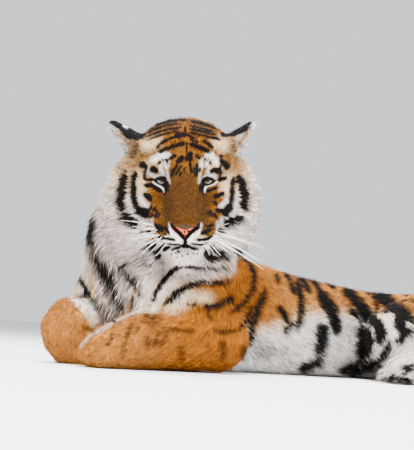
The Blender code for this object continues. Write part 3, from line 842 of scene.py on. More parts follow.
EAR_MARKS = [
    # tan rim, then brown hair at the base
    (12, -171, 131, -160, 115, -144, 92),
    (12, 167, 131, 155, 115, 139, 92),
    (36, -139, 103, -121, 95, -126, 81),
    (36, 107, 108, 125, 102, 121, 87),
    (19, -145, 90, -136, 77),
    (19, 139, 87, 126, 81),
]
NECK_MARKS = [
    (31, -239, -92, -251, -125, -249, -156, -242, -185),
    (35, -242, -185, -218, -226, -200, -269, -188, -299),
    (20, -188, -299, -178, -324, -163, -339),
    (15, -283, -218, -276, -251, -257, -288, -228, -324, -203, -357, -181, -365),
    (11, -167, -237, -134, -266, -115, -299),
    (6, -134, -295, -137, -317, -141, -335),
    (10, -178, -302, -167, -328, -149, -339),
    (12, -90, -322, -76, -288, -54, -255, -30, -231, -3, -223),
    (9, -3, -223, 34, -226, 78, -226, 132, -228),
    (18, -53, -321, -25, -296, 5, -274, 41, -263, 63, -263),
    (12, 63, -263, 92, -266, 121, -261),
    (6, -119, -200, -105, -215, -83, -218),
    (6, -203, -237, -170, -229, -152, -211),
    (9, -108, -174, -76, -171, -54, -174),
    (19, 49, -328, 78, -326, 103, -316, 129, -303),
    (5, 5, -319, 27, -320, 45, -321),
    (15, 167, -202, 184, -244, 182, -280, 154, -317, 118, -346),
    (8, 213, -273, 195, -309, 185, -339),
    (12, 187, -331, 182, -375, 177, -404, 167, -433),
    (9, 89, -392, 114, -393, 143, -384, 165, -363, 173, -324),
    (15, 129, -171, 151, -193, 167, -207),
]
LEG_MARKS = [
    (7, -137, -368, -148, -397, -159, -430, -163, -466),
    (3, -108, -346, -87, -357, -68, -373),
    (3, -105, -339, -79, -350, -57, -364),
    (3, -98, -364, -76, -386),
    (3, -119, -355, -90, -370, -72, -392),
    (8, -56, -371, -49, -404, -68, -432),
    (9, -14, -426, -6, -448, -7, -470),
    (11, -98, -406, -98, -433),
    (3, -271, -377, -249, -380, -234, -397),
    (7, -68, -390, -72, -415, -83, -433),
    (5, -119, -375, -127, -397),
    (9, 101, -412, 103, -444, 96, -470),
    (11, 158, -433, 154, -466),
    (6, 74, -384, 96, -393, 118, -392),
    (5, 59, -339, 74, -361),
    (8, -185, -397, -203, -426),
    (6, -46, -379, -10, -388, 27, -390),
]
FLANK_MARKS = [
    (9, 271, -230, 300, -243, 317, -266, 330, -291),
    (6, 260, -236, 274, -252, 281, -275, 286, -295),
    (6, 240, -240, 245, -255, 244, -263),
    (14, 293, -255, 302, -286, 307, -315, 307, -341, 302, -361, 296, -390),
    (9, 323, -246, 343, -266, 355, -286),
    (27, 353, -286, 371, -315, 387, -338, 395, -367, 400, -399),
    (8, 343, -249, 375, -260, 395, -278),
    (21, 420, -279, 441, -301, 456, -321),
    (30, 456, -321, 479, -350, 500, -370, 512, -396, 510, -425),
    (30, 496, -286, 522, -304, 548, -324, 577, -344, 597, -356),
    (26, 568, -344, 563, -373, 577, -393, 597, -396),
    (17, 557, -423, 574, -402, 597, -389),
    (31, 358, -376, 362, -399, 358, -428, 355, -451),
    (21, 359, -468, 343, -475, 323, -484, 304, -491),
    (37, 467, -384, 474, -413, 470, -442, 467, -460),
    (14, 465, -468, 444, -478, 424, -485, 404, -497),
    (17, 535, -416, 532, -436, 517, -462, 491, -483, 456, -496, 421, -500),
    (10, 245, -324, 260, -344, 271, -367),
    (12, 283, -370, 260, -393),
    (17, 574, -488, 597, -483),
    (14, 514, -520, 548, -514, 597, -523),
    (13, 214, -286, 198, -321, 185, -361, 172, -402, 175, -431),
]
PALE_MARKS = [
    # between the cheek bands and the eyes
    (7, -117, 16, -120, -20),
    (7, 114, 6, 113, -23),
    # breast and throat
    (47, -108, -237, -98, -273, -101, -309),
    (33, -134, -302, -119, -331),
    (36, -280, -237, -265, -273),
    (44, -98, -324, -76, -299, -54, -273),
    (33, -39, -317, -10, -299, 12, -295),
    (29, -46, -280, -21, -251, 5, -240),
    (40, -276, -266, -251, -317, -214, -361),
    (18, -3, -244, 34, -247),
    (1, 23, -299, 63, -302),
    (1, -98, 96, -74, 106),
    (1, 87, 103, 102, 94),
    (18, 48, -207, 89, -211, 129, -204),
    # belly behind the elbow, and the hind leg's fringe
    (58, 265, -436, 317, -448, 346, -465),
    (46, 216, -419, 240, -402, 265, -393),
    (58, 283, -402, 306, -425),
    (69, 571, -462, 597, -462),
    (35, 485, -509, 534, -494, 597, -500),
    (35, 528, -376, 548, -344),
]
TAWNY_MARKS = [
    (11, 85, -280, 92, -302),
    (7, 85, -246, 129, -246),
    # side of the neck and point of the shoulder
    (44, 147, -200, 147, -251, 129, -288),
    (33, 96, -266, 114, -295),
    (22, 110, -237, 132, -244),
]
SHADE_MARKS = [
    # painted shade on the hind paw, and dusky hair with painted shade behind the elbow
    (17, 571, -488, 597, -500),
    (17, 202, -416, 193, -436),
    # dusky hair and painted shade in the armpit, under the jaw and on the throat, and painted shade between
    # the mouth and the chin
    (43, 193, -451, 214, -439, 231, -451),
    (26, 193, -413, 205, -431),
    (17, 260, -445, 274, -451),
    (33, -105, -185, -68, -200),
    (29, -167, -218, -134, -211, -105, -193),
    (8, -26, -172, 2, -175, 29, -172),
    (13, -107, -162, -84, -165),
    (16, -116, -185, -81, -198, -52, -217),
    (10, -194, -181, -126, -220),
    (10, -213, -143, -184, -165),
    (12, -203, -167, -178, -204, -163, -251),
    (12, -149, -237, -119, -266, -105, -302),
    (11, -119, -204, -98, -229),
    (13, -174, -266, -152, -302, -134, -328),
    (7, -240, -109, -214, -134, -185, -167),
    (8, -52, -230, -77, -253),
    (8, -168, -227, -136, -269),
    (22, -152, -251, -119, -280),
    (29, 56, -196, 99, -193),
    (15, -214, -222, -185, -237),
]


def densified(flat, step):
    """Points every step mm along a drawn line of x, y pairs."""
    corners = np.array(flat, float).reshape(-1, 2)
    runs = np.linalg.norm(np.diff(corners, axis=0), axis=1)
    at = np.r_[0, np.cumsum(runs)]
    t = np.linspace(0, at[-1], max(3, int(at[-1] / step) + 1))
    return np.stack([np.interp(t, at, corners[:, k]) for k in (0, 1)], axis=1)


def laid(tree, start, plane_points):
    """Where sight lines from start through the plane's points meet the body."""
    found = []
    for point in plane_points:
        hit = tree.ray_cast(start, Vector(point) - start)[0]
        if hit is not None:
            found.append(hit)
    return np.array(found)


DARK_GAIN = 0.0016
PALE_GAIN = 0.0006
FAR_GAIN = 0.001
STROKE_REACH = 0.055  # how far behind or beside its line a stroke still colours the body
CRISP = 0.0012  # half the width of the blur at a crisp edge
FADE_STEEPNESS = 3.4
PATCH_BLUR = 0.026
BROWN_SHADE_BLUR = 0.017
SMOKE_AND_SHADE_BLUR = 0.014
WHITE_BLUR = 0.0045
STRIPE_BLUR = 0.003
LEG_BLUR = 0.0025


def on_plane(points):
    """Where points are seen on the drawing plane, in metres right and up of the head's origin."""
    start = np.array(viewpoint)
    ahead = np.cross(VIEW_TOP, VIEW_RIGHT)
    rays = points - start
    rays = rays * ((ORIGIN - start) @ ahead / (rays @ ahead))[:, None] + start - ORIGIN
    return np.stack([rays @ VIEW_RIGHT, rays @ VIEW_TOP], axis=1)


def laid_line(tree, line):
    """Where a line on the drawing plane, in mm, meets the body."""
    plane = ORIGIN + (line[:, :1] * VIEW_RIGHT + line[:, 1:] * VIEW_TOP) / 1000
    return laid(tree, viewpoint, plane)


def seen_strokes(tree, rows, gain=0.0):
    """Strokes laid on the body: (line on the drawing plane, places on the body, half widths). Gain widens
    dark strokes and narrows pale ones, since locks lie across each other at a stroke's edge."""
    made = []
    for width, *flat in rows:
        line = densified(flat, max(1.5, width / 5))
        places = laid_line(tree, line)
        if len(places):
            made.append((line / 1000, places, tapered(len(line), width / 2000 + gain)))
    return made


def tapered(count, half_width):
    """Half widths along a stroke that narrows towards both of its ends."""
    share = np.linspace(0, 1, count)
    return half_width * np.minimum(1, np.minimum(share, 1 - share) * 4.5 + 0.35)


def covered(points, strokes, softness=CRISP, far=STROKE_REACH):
    """How far each point is inside the strokes, from 0 to 1. A seen stroke has its line on the plane, and
    fades out towards its reach in depth; a band has only its places on the body."""
    cover = np.zeros(len(points))
    plane = on_plane(points)
    ragged = 1 + 0.16 * waves(points, 0.011, 5) + 0.10 * waves(points, 0.030, 6)
    for *line, places, halves in strokes:
        reach = max(far - STROKE_REACH, min(STROKE_REACH, 0.016 + 3.5 * halves.max() + 2.5 * softness))
        reach = reach if line else halves.max() + 2 * softness
        low, high = places.min(0) - reach, places.max(0) + reach
        near = np.flatnonzero(((points > low) & (points < high)).all(1))
        if line:
            side = halves.max() * 1.5 + 2 * softness
            low, high = line[0].min(0) - side, line[0].max(0) + side
            near = near[((plane[near] > low) & (plane[near] < high)).all(1)]
        if not len(near):
            continue
        away = np.linalg.norm(points[near, None, :] - places[None, ::3 if line else 1], axis=2)
        fade = 1.0
        if line:
            fade = np.clip(FADE_STEEPNESS - FADE_STEEPNESS * away.min(1) / reach, 0, 1)
            away = np.linalg.norm(plane[near, None, :] - line[0][None], axis=2)
        inside = (halves[None] * ragged[near, None] - away).max(1)
        level = np.clip(0.5 + inside / (2 * softness), 0, 1) * fade
        cover[near] = np.maximum(cover[near], level)
    return cover


ORANGE = np.array((0.31, 0.096, 0.004))
HEAD_ORANGE = np.array((0.185, 0.066, 0.004))
FLANK_ORANGE = np.array((0.46, 0.190, 0.040))
PAW_ORANGE = np.array((0.47, 0.200, 0.048))
BRIDGE_BROWN = np.array((0.056, 0.021, 0.0012))
SHADE_BROWN = np.array((0.026, 0.009, 0.001))
NOSE_BROWN = np.array((0.080, 0.046, 0.028))
WHITE = np.array((0.95, 0.90, 0.85))
CREAM = np.array((0.74, 0.52, 0.29))
GREY_WHITE = np.array((0.74, 0.65, 0.58))
TAN = np.array((0.40, 0.23, 0.10))
SMOKE_AND_SHADE = np.array((0.10, 0.085, 0.075))
BLACK = np.array((0.0024, 0.0018, 0.0016))
STRIPE_BROWN = np.array((0.024, 0.009, 0.003))


def mixed(base, paint, level):
    return base + (paint - base) * level[:, None]


def faded(base, paint, level):
    """Base to a pale paint by way of cream, as banded hair fades."""
    return mixed(mixed(base, CREAM, np.clip(level * 2, 0, 1)), paint, np.clip(level * 2 - 1, 0, 1))


def waves(points, size, seed):
    """A smooth random field, about -1 to 1, that varies over size metres."""
    rng = np.random.default_rng(seed)
    ways = unit(rng.normal(size=(7, 3))) * (2 * np.pi / size) * rng.uniform(0.6, 1.5, (7, 1))
    return np.sin(points @ ways.T + rng.uniform(0, 6.28, 7)).sum(1) / 2.6


outline_tree = BVHTree.FromPolygons(outline.tolist(), [tuple(p.vertices) for p in skin_mesh.polygons])
white_strokes = seen_strokes(outline_tree, WHITE_MARKS, -PALE_GAIN)
brown_shade_strokes = seen_strokes(outline_tree, BROWN_SHADE_MARKS)
black_strokes = seen_strokes(outline_tree, BLACK_MARKS, DARK_GAIN)
neck_strokes = seen_strokes(outline_tree, NECK_MARKS, DARK_GAIN)
streak_strokes = seen_strokes(outline_tree, STREAK_MARKS, -PALE_GAIN)
ear_strokes = seen_strokes(outline_tree, EAR_MARKS)
pale_strokes = seen_strokes(outline_tree, PALE_MARKS)
shade_strokes = seen_strokes(outline_tree, SHADE_MARKS)
tawny_strokes = seen_strokes(outline_tree, TAWNY_MARKS)
leg_strokes = seen_strokes(outline_tree, LEG_MARKS, 2 * DARK_GAIN)
flank_strokes = seen_strokes(outline_tree, FLANK_MARKS, 3 * DARK_GAIN)


def from_spine(places):
    """For each place, the nearest point of the spine, as seen from above, and the way square to it there."""
    spine, ways = along_line(SPINE, 0.02)
    nearest = ((places[:, None, :2] - spine[None, :, :2]) ** 2).sum(2).argmin(1)
    return spine[nearest], np.cross((0, 0, 1), ways[nearest])


def across_spine(places):
    """The same places on the other side of the animal."""
    spine, side = from_spine(places)
    side = unit(side)
    off = ((places - spine) * side).sum(1, keepdims=True)
    other = places - 2 * off * side
    return np.array([outline_tree.find_nearest(Vector(p))[0] for p in other])


far_strokes = [(across_spine(places), halves[:len(places)] + FAR_GAIN)
               for _, places, halves in flank_strokes]


def bands_round(line, spacing, radius, half_width, turn_limit, first=0):
    """Bands across a line of points, spacing apart, from turn_limit on one side of its top to the other."""
    places, ways = along_line(line, spacing)
    turn = np.linspace(-turn_limit, turn_limit, 33)[:, None]
    made = []
    for number in range(first, len(places)):
        place, way = places[number], ways[number]
        side = unit(np.cross(way, (0, 0, 1)))
        top = np.cross(side, way)
        waver = way * spacing * 0.22 * np.sin(2.3 * turn + 1.9 * number)
        ring = place + radius * (np.sin(turn) * side + np.cos(turn) * top) + waver
        ring = np.array([outline_tree.find_nearest(Vector(p))[0] for p in ring])
        made.append((ring, half_width * np.clip(1.5 - 1.2 * np.abs(turn[:, 0]) / turn_limit, 0.2, 1)))
    return made


def tail_bands():
    """Rings round the tail, and its black end."""
    line = [*LIMBS["tail_root"], *LIMBS["tail_middle"][1:], *LIMBS["tail_tip"][1:]]
    places, _ = along_line(line, 0.01)
    made = [(ring, np.full(len(ring), 0.012 + 0.0011 * number))
            for number, (ring, _) in enumerate(bands_round(line, 0.078, 0.045, 0.014, np.pi, 1))]
    return made[:-1] + [(places[-10:], np.full(10, 0.060))]


NAPE = [
    from_head((0, -0.150, 0.100)), (-0.545, 0.215, 0.475), (-0.500, 0.235, 0.400), (-0.380, 0.275, 0.350),
]
REAR_BANDS = [  # line, spacing, radius, half width (m), turn to each side (radians), first band
    (NAPE, 0.078, 0.16, 0.011, 1.1, 1),
    (SPINE[6:], 0.072, 0.20, 0.015, 1.5, 1),
    (LIMBS["hindleg_left"][:3], 0.070, 0.14, 0.015, 1.9, 0),
    (LIMBS["hindleg_left"][2:5], 0.064, 0.09, 0.011, 1.6, 1),
    (LIMBS["hindleg_right"][:3], 0.070, 0.14, 0.015, 1.9, 0),
    (LIMBS["hindleg_right"][2:5], 0.064, 0.09, 0.011, 1.6, 1),
    (LIMBS["foreleg_right"][1:], 0.075, 0.09, 0.008, 0.9, 1),
]
rear_strokes = tail_bands()
for row in REAR_BANDS:
    rear_strokes += bands_round(*row)


def ear_painted(base, points, name, facing):
    """Base with the black backs of the ears and the white spot on each."""
    for hand, ear in ((1, "ear_left"), (-1, "ear_right")):
        flip = np.array((hand, 1, 1))
        hollow = smooth_step(-0.2, 0.3, (facing @ AXES) @ unit(EAR_HOLLOW * flip))
        spot_place = from_head((EAR_ROOT + (EAR_TIP - EAR_ROOT) * 0.62) * flip)
        back_spot = smooth_step(0.021, 0.015, np.linalg.norm(points - spot_place, axis=1))
        base = mixed(base, BLACK, (name == ear) * (1 - hollow))
        base = mixed(base, WHITE, (name == ear) * (1 - hollow) * back_spot)
    return base


def nose_top(spot):
    """1 on the dark hair that meets the top of the nose leather."""
    tip = smooth_step(0.136, 0.152, spot[:, 1]) * smooth_step(-0.046, -0.062, spot[:, 2])
    return tip * smooth_step(-0.095, -0.082, spot[:, 2]) * smooth_step(0.036, 0.014, np.abs(spot[:, 0]))


def coat_colour(points, pale, part, facing):
    """Colour of the coat at places on the outline of the body, laid on from the ground to the stripes."""
    spot = to_head(points)
    name = np.array(FLESH)[part]
    on_head = (name == "head") | np.char.startswith(name, "ear")
    # orange ground, paler on paws and flanks, brown on the bridge of the nose
    base = ear_painted(np.where(on_head[:, None], HEAD_ORANGE, ORANGE), points, name, facing)
    base = base * (1 + 0.10 * waves(points, 0.035, 11) + 0.07 * waves(points, 0.014, 12))[:, None]
    wrist = np.char.startswith(name, "fore") * smooth_step(-0.60, -0.78, points[:, 0])
    base = mixed(base, PAW_ORANGE, wrist * 0.5)
    rear = (name == "trunk") | np.char.startswith(name, "hindleg")
    base = mixed(base, FLANK_ORANGE, rear * smooth_step(-0.30, -0.10, points[:, 0]) * 0.8)
    bridge = np.exp(-((spot[:, 0] / 0.062) ** 4 + ((spot[:, 1] - 0.100) / 0.085) ** 4))
    base = mixed(base, BRIDGE_BROWN, bridge * on_head)
    # white underside, and the broad soft patches, among them painted shade in brown and in grey
    white = np.where(on_head[:, None] | (name == "neck")[:, None], GREY_WHITE, WHITE)
    colour = faded(base, white, smooth_step(0.20, 0.80, pale + 0.05 * waves(points, 0.05, 3)))
    colour = mixed(colour, TAN, covered(points, ear_strokes, STRIPE_BLUR))
    colour = mixed(colour, SHADE_BROWN, covered(points, brown_shade_strokes, BROWN_SHADE_BLUR) * 0.9)
    patch = np.minimum(covered(points, pale_strokes, PATCH_BLUR) * 1.15, 1)
    colour = np.maximum(colour, faded(colour, WHITE, patch))
    colour = mixed(colour, ORANGE, covered(points, tawny_strokes, PATCH_BLUR) * 0.75)
    # dusky hair and painted shade in grey, from the shade strokes
    smoke_and_shade_level = 0.75 + 0.25 * waves(points, 0.012, 9)
    colour = mixed(colour, SMOKE_AND_SHADE, covered(points, shade_strokes, SMOKE_AND_SHADE_BLUR) * smoke_and_shade_level)
    colour = mixed(colour, NOSE_BROWN, nose_top(spot) * on_head * 0.8)
    # crisp white patches, stripes and the bright streaks that cross them
    streaky = 0.88 + 0.12 * waves(points, 0.005, 13)
    colour = mixed(colour, WHITE, covered(points, white_strokes, WHITE_BLUR) * streaky)
    colour = mixed(colour, STRIPE_BROWN, covered(points, leg_strokes, LEG_BLUR) * 0.8)
    dark = covered(points, flank_strokes + far_strokes + rear_strokes, STRIPE_BLUR, 3 * STROKE_REACH)
    dark = np.maximum(dark, covered(points, neck_strokes, far=2.5 * STROKE_REACH))
    dark = np.maximum(dark, covered(points, black_strokes))
    colour = mixed(colour, BLACK, dark)
    return mixed(colour, WHITE, covered(points, streak_strokes))


def write_colours(mesh, colours):
    attribute = mesh.color_attributes.new("coat_colour", "FLOAT_COLOR", "POINT")
    rgba = np.ones((len(colours), 4), np.float32)
    rgba[:, :3] = colours
    attribute.data.foreach_set("color", rgba.ravel())

# ---- Lids, lips and creases ----
# The fine shape of the face: each lid is a fold of skin that lies closely over the ball, with a slanted
# almond opening; the lips meet in a dark groove under the pads, split in the middle below the nose.
LID_INNER = (-0.0150, -0.0060)  # corner nearest the nose: outwards and up of the eyeball's middle
LID_OUTER = (0.0140, 0.0015)
LID_RISE = 0.0070
LID_FALL = 0.0045
LID_EDGE = 0.0018
LID_RADIUS = EYE_RADIUS + 0.0022
LID_REACH = 0.010  # how far from its opening a lid still follows the ball
RECESS_RADIUS = EYE_RADIUS - 0.005
GROOVE_REACH = 0.13


def lid_opening(spot, hand):
    """How far inside the almond a point in head places lies, in metres; below 0 outside."""
    eye = to_head(np.array(EYES[hand]))
    out = hand * (spot[:, 0] - eye[0])
    up = spot[:, 2] - eye[2]
    t = (out - LID_INNER[0]) / (LID_OUTER[0] - LID_INNER[0])
    line = LID_INNER[1] + (LID_OUTER[1] - LID_INNER[1]) * t
    arch = np.clip(1 - (2 * t - 1) ** 2, 0, 1)
    above = line + LID_RISE * arch**0.7 - up
    below = up - line + LID_FALL * arch**0.7
    ends = 0.6 * (LID_OUTER[0] - LID_INNER[0]) * (0.5 - abs(t - 0.5))
    return np.minimum(np.minimum(above, below), ends)


def open_lids(points):
    """The skin with lids that follow each ball closely, and pressed back behind the ball's front between
    them."""
    made = points.copy()
    spot = to_head(points)
    for hand, place in EYES.items():
        eye = np.array(place)
        away = np.linalg.norm(points - eye, axis=1)
        ahead = spot[:, 1] > to_head(eye)[1] - 0.006
        inside = lid_opening(spot, hand)
        near = ahead & (away < 0.035)
        close = near & (inside > -LID_REACH) & (inside <= 0)
        pull = smooth_step(-LID_REACH, -0.003, inside[close])[:, None]
        ways = unit(points[close] - eye)
        made[close] += ways * (LID_RADIUS - away[close, None]) * pull
        deep = near & (inside > 0)
        press = smooth_step(0, LID_EDGE, inside[deep])[:, None]
        ways = unit(points[deep] - eye)
        made[deep] = eye + ways * (LID_RADIUS + (RECESS_RADIUS - LID_RADIUS) * press)
    return made


GROOVES = [  # width, depth (mm), then the drawn line
    (7, 6, 2, -150, 2, -166),
    (9, 8, -74, -176, -40, -173, 2, -165, 29, -172, 52, -174, 76, -186),
    (9, 1.5, -80, 14, -66, 19, -52, 14),
    (9, 1.5, 48, 13, 62, 18, 78, 12),
]


def grooved(points, normals, tree):
    """The skin with its lips and creases pressed in."""
    made = points.copy()
    for width, depth, *flat in GROOVES:
        line = densified(flat, 1.5)
        places = laid_line(tree, line)
        near = np.flatnonzero(np.linalg.norm(points - places.mean(0), axis=1) < GROOVE_REACH)
        away = np.linalg.norm(points[near, None] - places[None], axis=2).min(1)
        press = depth / 1000 * np.exp(-((away / (width / 2000)) ** 2))
        made[near] -= normals[near] * press[:, None]
    return made


def faces_of(mesh):
    corners = np.empty(len(mesh.polygons) * 3, np.int32)
    mesh.polygons.foreach_get("vertices", corners)
    return corners.reshape(-1, 3)


triangles = faces_of(skin_mesh)
ungrooved = BVHTree.FromPolygons(skin_points.tolist(), triangles.tolist())
skin_points = grooved(skin_points, normals, ungrooved)
opening = np.full(len(outline), -1.0)
for hand, place in EYES.items():
    near_eye = np.linalg.norm(outline - np.array(place), axis=1) < 0.03
    opening = np.where(near_eye, np.maximum(opening, lid_opening(to_head(outline), hand)), opening)
skin_points = open_lids(skin_points)
set_points(skin_mesh, skin_points)
skin_mesh.polygons.foreach_set("use_smooth", np.ones(len(triangles), bool))
skin_colour = coat_colour(outline, paleness, part, normals)
# painted shade: the skin is darker under long hair, where the coat shades it
skin_colour *= 1 - 0.55 * smooth_step(0.018, 0.040, hair_length)[:, None]
write_colours(skin_mesh, mixed(skin_colour, BLACK, smooth_step(-0.0042, -0.0028, opening)))


def hair_tone():
    """Node group: breaks a coat colour up into fine light and dark hair, with its height."""
    group = bpy.data.node_groups.new("hair tone", "ShaderNodeTree")
    for name, kind, start in (("Colour", "NodeSocketColor", None), ("Grain", "NodeSocketFloat", 300.0),
                              ("Contrast", "NodeSocketFloat", 0.3)):
        socket = group.interface.new_socket(name, in_out="INPUT", socket_type=kind)
        if start is not None:
            socket.default_value = start
    group.interface.new_socket("Colour", in_out="OUTPUT", socket_type="NodeSocketColor")
    group.interface.new_socket("Height", in_out="OUTPUT", socket_type="NodeSocketFloat")
    nodes, links = group.nodes, group.links
    start, end = nodes.new("NodeGroupInput"), nodes.new("NodeGroupOutput")
    place = nodes.new("ShaderNodeTexCoord")
    noise = nodes.new("ShaderNodeTexNoise")
    noise.inputs["Detail"].default_value = 3
    links.new(place.outputs["Object"], noise.inputs["Vector"])
    links.new(start.outputs["Grain"], noise.inputs["Scale"])
    swing = nodes.new("ShaderNodeMath")
    swing.operation = "MULTIPLY_ADD"
    centre = nodes.new("ShaderNodeMath")
    centre.operation = "SUBTRACT"
    centre.inputs[1].default_value = 0.5
    links.new(noise.outputs["Fac"], centre.inputs[0])
    links.new(centre.outputs[0], swing.inputs[0])
    links.new(start.outputs["Contrast"], swing.inputs[1])
    swing.inputs[2].default_value = 1.0
    scale = nodes.new("ShaderNodeVectorMath")
    scale.operation = "SCALE"
    links.new(start.outputs["Colour"], scale.inputs[0])
    links.new(swing.outputs[0], scale.inputs["Scale"])
    links.new(scale.outputs["Vector"], end.inputs["Colour"])
    links.new(noise.outputs["Fac"], end.inputs["Height"])
    return group


HAIR_TONE = hair_tone()


def toned(nodes, grain, contrast):
    """A hair tone node with its grain and contrast set."""
    tone = nodes.new("ShaderNodeGroup")
    tone.node_tree = HAIR_TONE
    set_inputs(tone, Grain=grain, Contrast=contrast)
    return tone


def coat_material(name, grain, contrast, roughness, bump):
    """Finish of hair or skin that takes its colour from the coat's markings."""
    made, nodes, links, shader = new_finish(name, Roughness=roughness, Specular_IOR_Level=0.12)
    paint = nodes.new("ShaderNodeAttribute")
    paint.attribute_name = "coat_colour"
    tone = toned(nodes, grain, contrast)
    links.new(paint.outputs["Color"], tone.inputs["Colour"])
    links.new(tone.outputs["Colour"], shader.inputs["Base Color"])
    if bump:
        relief = nodes.new("ShaderNodeBump")
        set_inputs(relief, Strength=bump, Distance=0.002)
        links.new(tone.outputs["Height"], relief.inputs["Height"])
        links.new(relief.outputs["Normal"], shader.inputs["Normal"])
    return made


skin = link("skin", skin_mesh)
skin_mesh.materials.clear()
skin_mesh.materials.append(coat_material("skin and underfur", 260, 0.7, 0.85, 0.5))
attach(skin, "root")
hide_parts(*FLESH)

# ---- Eyes ----
# Two glossy eyeballs with a pale grey-green iris, darker at its rim, and a small round pupil that sits high
# under the upper lid. Each is a turned ball with rings round the way it looks.
GAZE = unit(AXES @ np.array((0, 1, 0.0)) + np.array((0, 0, 0.22)))
EYE_RINGS, EYE_SECTORS = 40, 48
IRIS_ANGLE = 0.66  # radians from the gaze to the iris's rim
CORNEA_BULGE = 0.0006
BALL_RADIUS = EYE_RADIUS - 0.0008
IRIS_COLOURS = [  # radians from the gaze, and the colour there
    (0.20, (0.004, 0.004, 0.003)), (0.23, (0.10, 0.085, 0.045)), (0.38, (0.15, 0.135, 0.085)),
    (0.56, (0.10, 0.088, 0.055)), (0.64, (0.03, 0.028, 0.02)), (0.70, (0.02, 0.015, 0.012)),
]


def eyeball(name, place):
    """A ball whose map runs round the gaze along U and away from it, in radians, along V."""
    side = unit(np.cross(GAZE, (0, 0, 1)))
    top = np.cross(side, GAZE)
    bm = bmesh.new()
    uv = bm.loops.layers.uv.new("iris")
    rows = []
    for i in range(1, EYE_RINGS):
        tilt = math.pi * (i / EYE_RINGS) ** 1.3
        radius = BALL_RADIUS + CORNEA_BULGE * max(0.0, 1 - (tilt / IRIS_ANGLE) ** 2)
        row = []
        for turn in np.linspace(0, 2 * np.pi, EYE_SECTORS, endpoint=False):
            out = np.cos(turn) * side + np.sin(turn) * top
            way = math.cos(tilt) * GAZE + math.sin(tilt) * out
            row.append(bm.verts.new(np.array(place) + radius * way))
        rows.append((tilt, row))
    front = bm.verts.new(np.array(place) + (BALL_RADIUS + CORNEA_BULGE) * GAZE)
    back = bm.verts.new(np.array(place) - BALL_RADIUS * GAZE)

    def face(verts, places):
        made = bm.faces.new(verts)
        made.smooth = True
        for loop, spot in zip(made.loops, places):
            loop[uv].uv = spot

    for k in range(EYE_SECTORS):
        n = (k + 1) % EYE_SECTORS
        u0, u1 = k / EYE_SECTORS, (k + 1) / EYE_SECTORS
        for (t0, a), (t1, b) in zip(rows, rows[1:]):
            face((a[k], b[k], b[n], a[n]), ((u0, t0), (u0, t1), (u1, t1), (u1, t0)))
        face((front, rows[0][1][k], rows[0][1][n]), ((u0, 0), (u0, rows[0][0]), (u1, rows[0][0])))
        last = rows[-1]
        face((last[1][k], back, last[1][n]), ((u0, last[0]), (u0, math.pi), (u1, last[0])))
    bmesh.ops.recalc_face_normals(bm, faces=bm.faces)
    mesh = bpy.data.meshes.new(name)
    bm.to_mesh(mesh)
    bm.free()
    return link(name, mesh)


def iris_material():
    made, nodes, links, shader = new_finish("eye", Roughness=0.30, Specular_IOR_Level=0.2,
                                            Coat_Weight=0.4, Coat_Roughness=0.04)
    place = nodes.new("ShaderNodeUVMap")
    place.uv_map = "iris"
    split = nodes.new("ShaderNodeSeparateXYZ")
    ramp = nodes.new("ShaderNodeValToRGB")
    ramp.color_ramp.elements[0].color = (0.003, 0.003, 0.003, 1)
    ramp.color_ramp.elements[1].color = (0.012, 0.008, 0.006, 1)
    ramp.color_ramp.elements[0].position = 0.0
    ramp.color_ramp.elements[1].position = 1.0
    for position, colour in IRIS_COLOURS:
        ramp.color_ramp.elements.new(position).color = (*colour, 1)
    noise = nodes.new("ShaderNodeTexNoise")
    noise.inputs["Scale"].default_value = 1.0
    stretch = nodes.new("ShaderNodeMapping")
    stretch.inputs["Scale"].default_value = (90, 4, 1)
    links.new(place.outputs["UV"], stretch.inputs["Vector"])
    links.new(stretch.outputs["Vector"], noise.inputs["Vector"])
    links.new(place.outputs["UV"], split.inputs["Vector"])
    shift = nodes.new("ShaderNodeMath")
    shift.operation = "MULTIPLY_ADD"
    shift.inputs[1].default_value = 0.06
    links.new(noise.outputs["Fac"], shift.inputs[0])
    links.new(split.outputs["Y"], shift.inputs[2])
    links.new(shift.outputs[0], ramp.inputs["Fac"])
    links.new(ramp.outputs["Color"], shader.inputs["Base Color"])
    return made


eye_finish = iris_material()
for hand, side_name in ((1, "left"), (-1, "right")):
    ball = eyeball("eyeball_" + side_name, EYES[hand])
    ball.data.materials.append(eye_finish)
    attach(ball, "root")
    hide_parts("eye_" + side_name)

# ---- Nose leather ----
# Bare, finely cobbled skin: a pink shield that narrows down to the split lip, between black wings that curl
# round the nostrils.
NOSE_GRID = 0.0013
NOSE_PINK_TOP = -0.1262  # where brown turns to pink in the middle, in metres up on the drawing plane
NOSE_PINK_RISE = 0.33  # how much higher that is for each metre to the side
NOSE_SPLIT_TOP = -0.1495  # below this the leather is the dark split of the lip
NOSTRILS = [(0.0130, -0.0860), (0.0225, -0.0760), (0.0310, -0.0660)]  # side and up, along each opening
NOSTRIL_HALF_WIDTH = 0.0042
NOSTRIL_DEPTH = 0.006
NOSE_FRONT = 0.140  # how far ahead of the head's origin the bare front of the nose starts
NOSE_FLOOR = -0.104
NOSE_PINK = np.array((0.47, 0.082, 0.036))


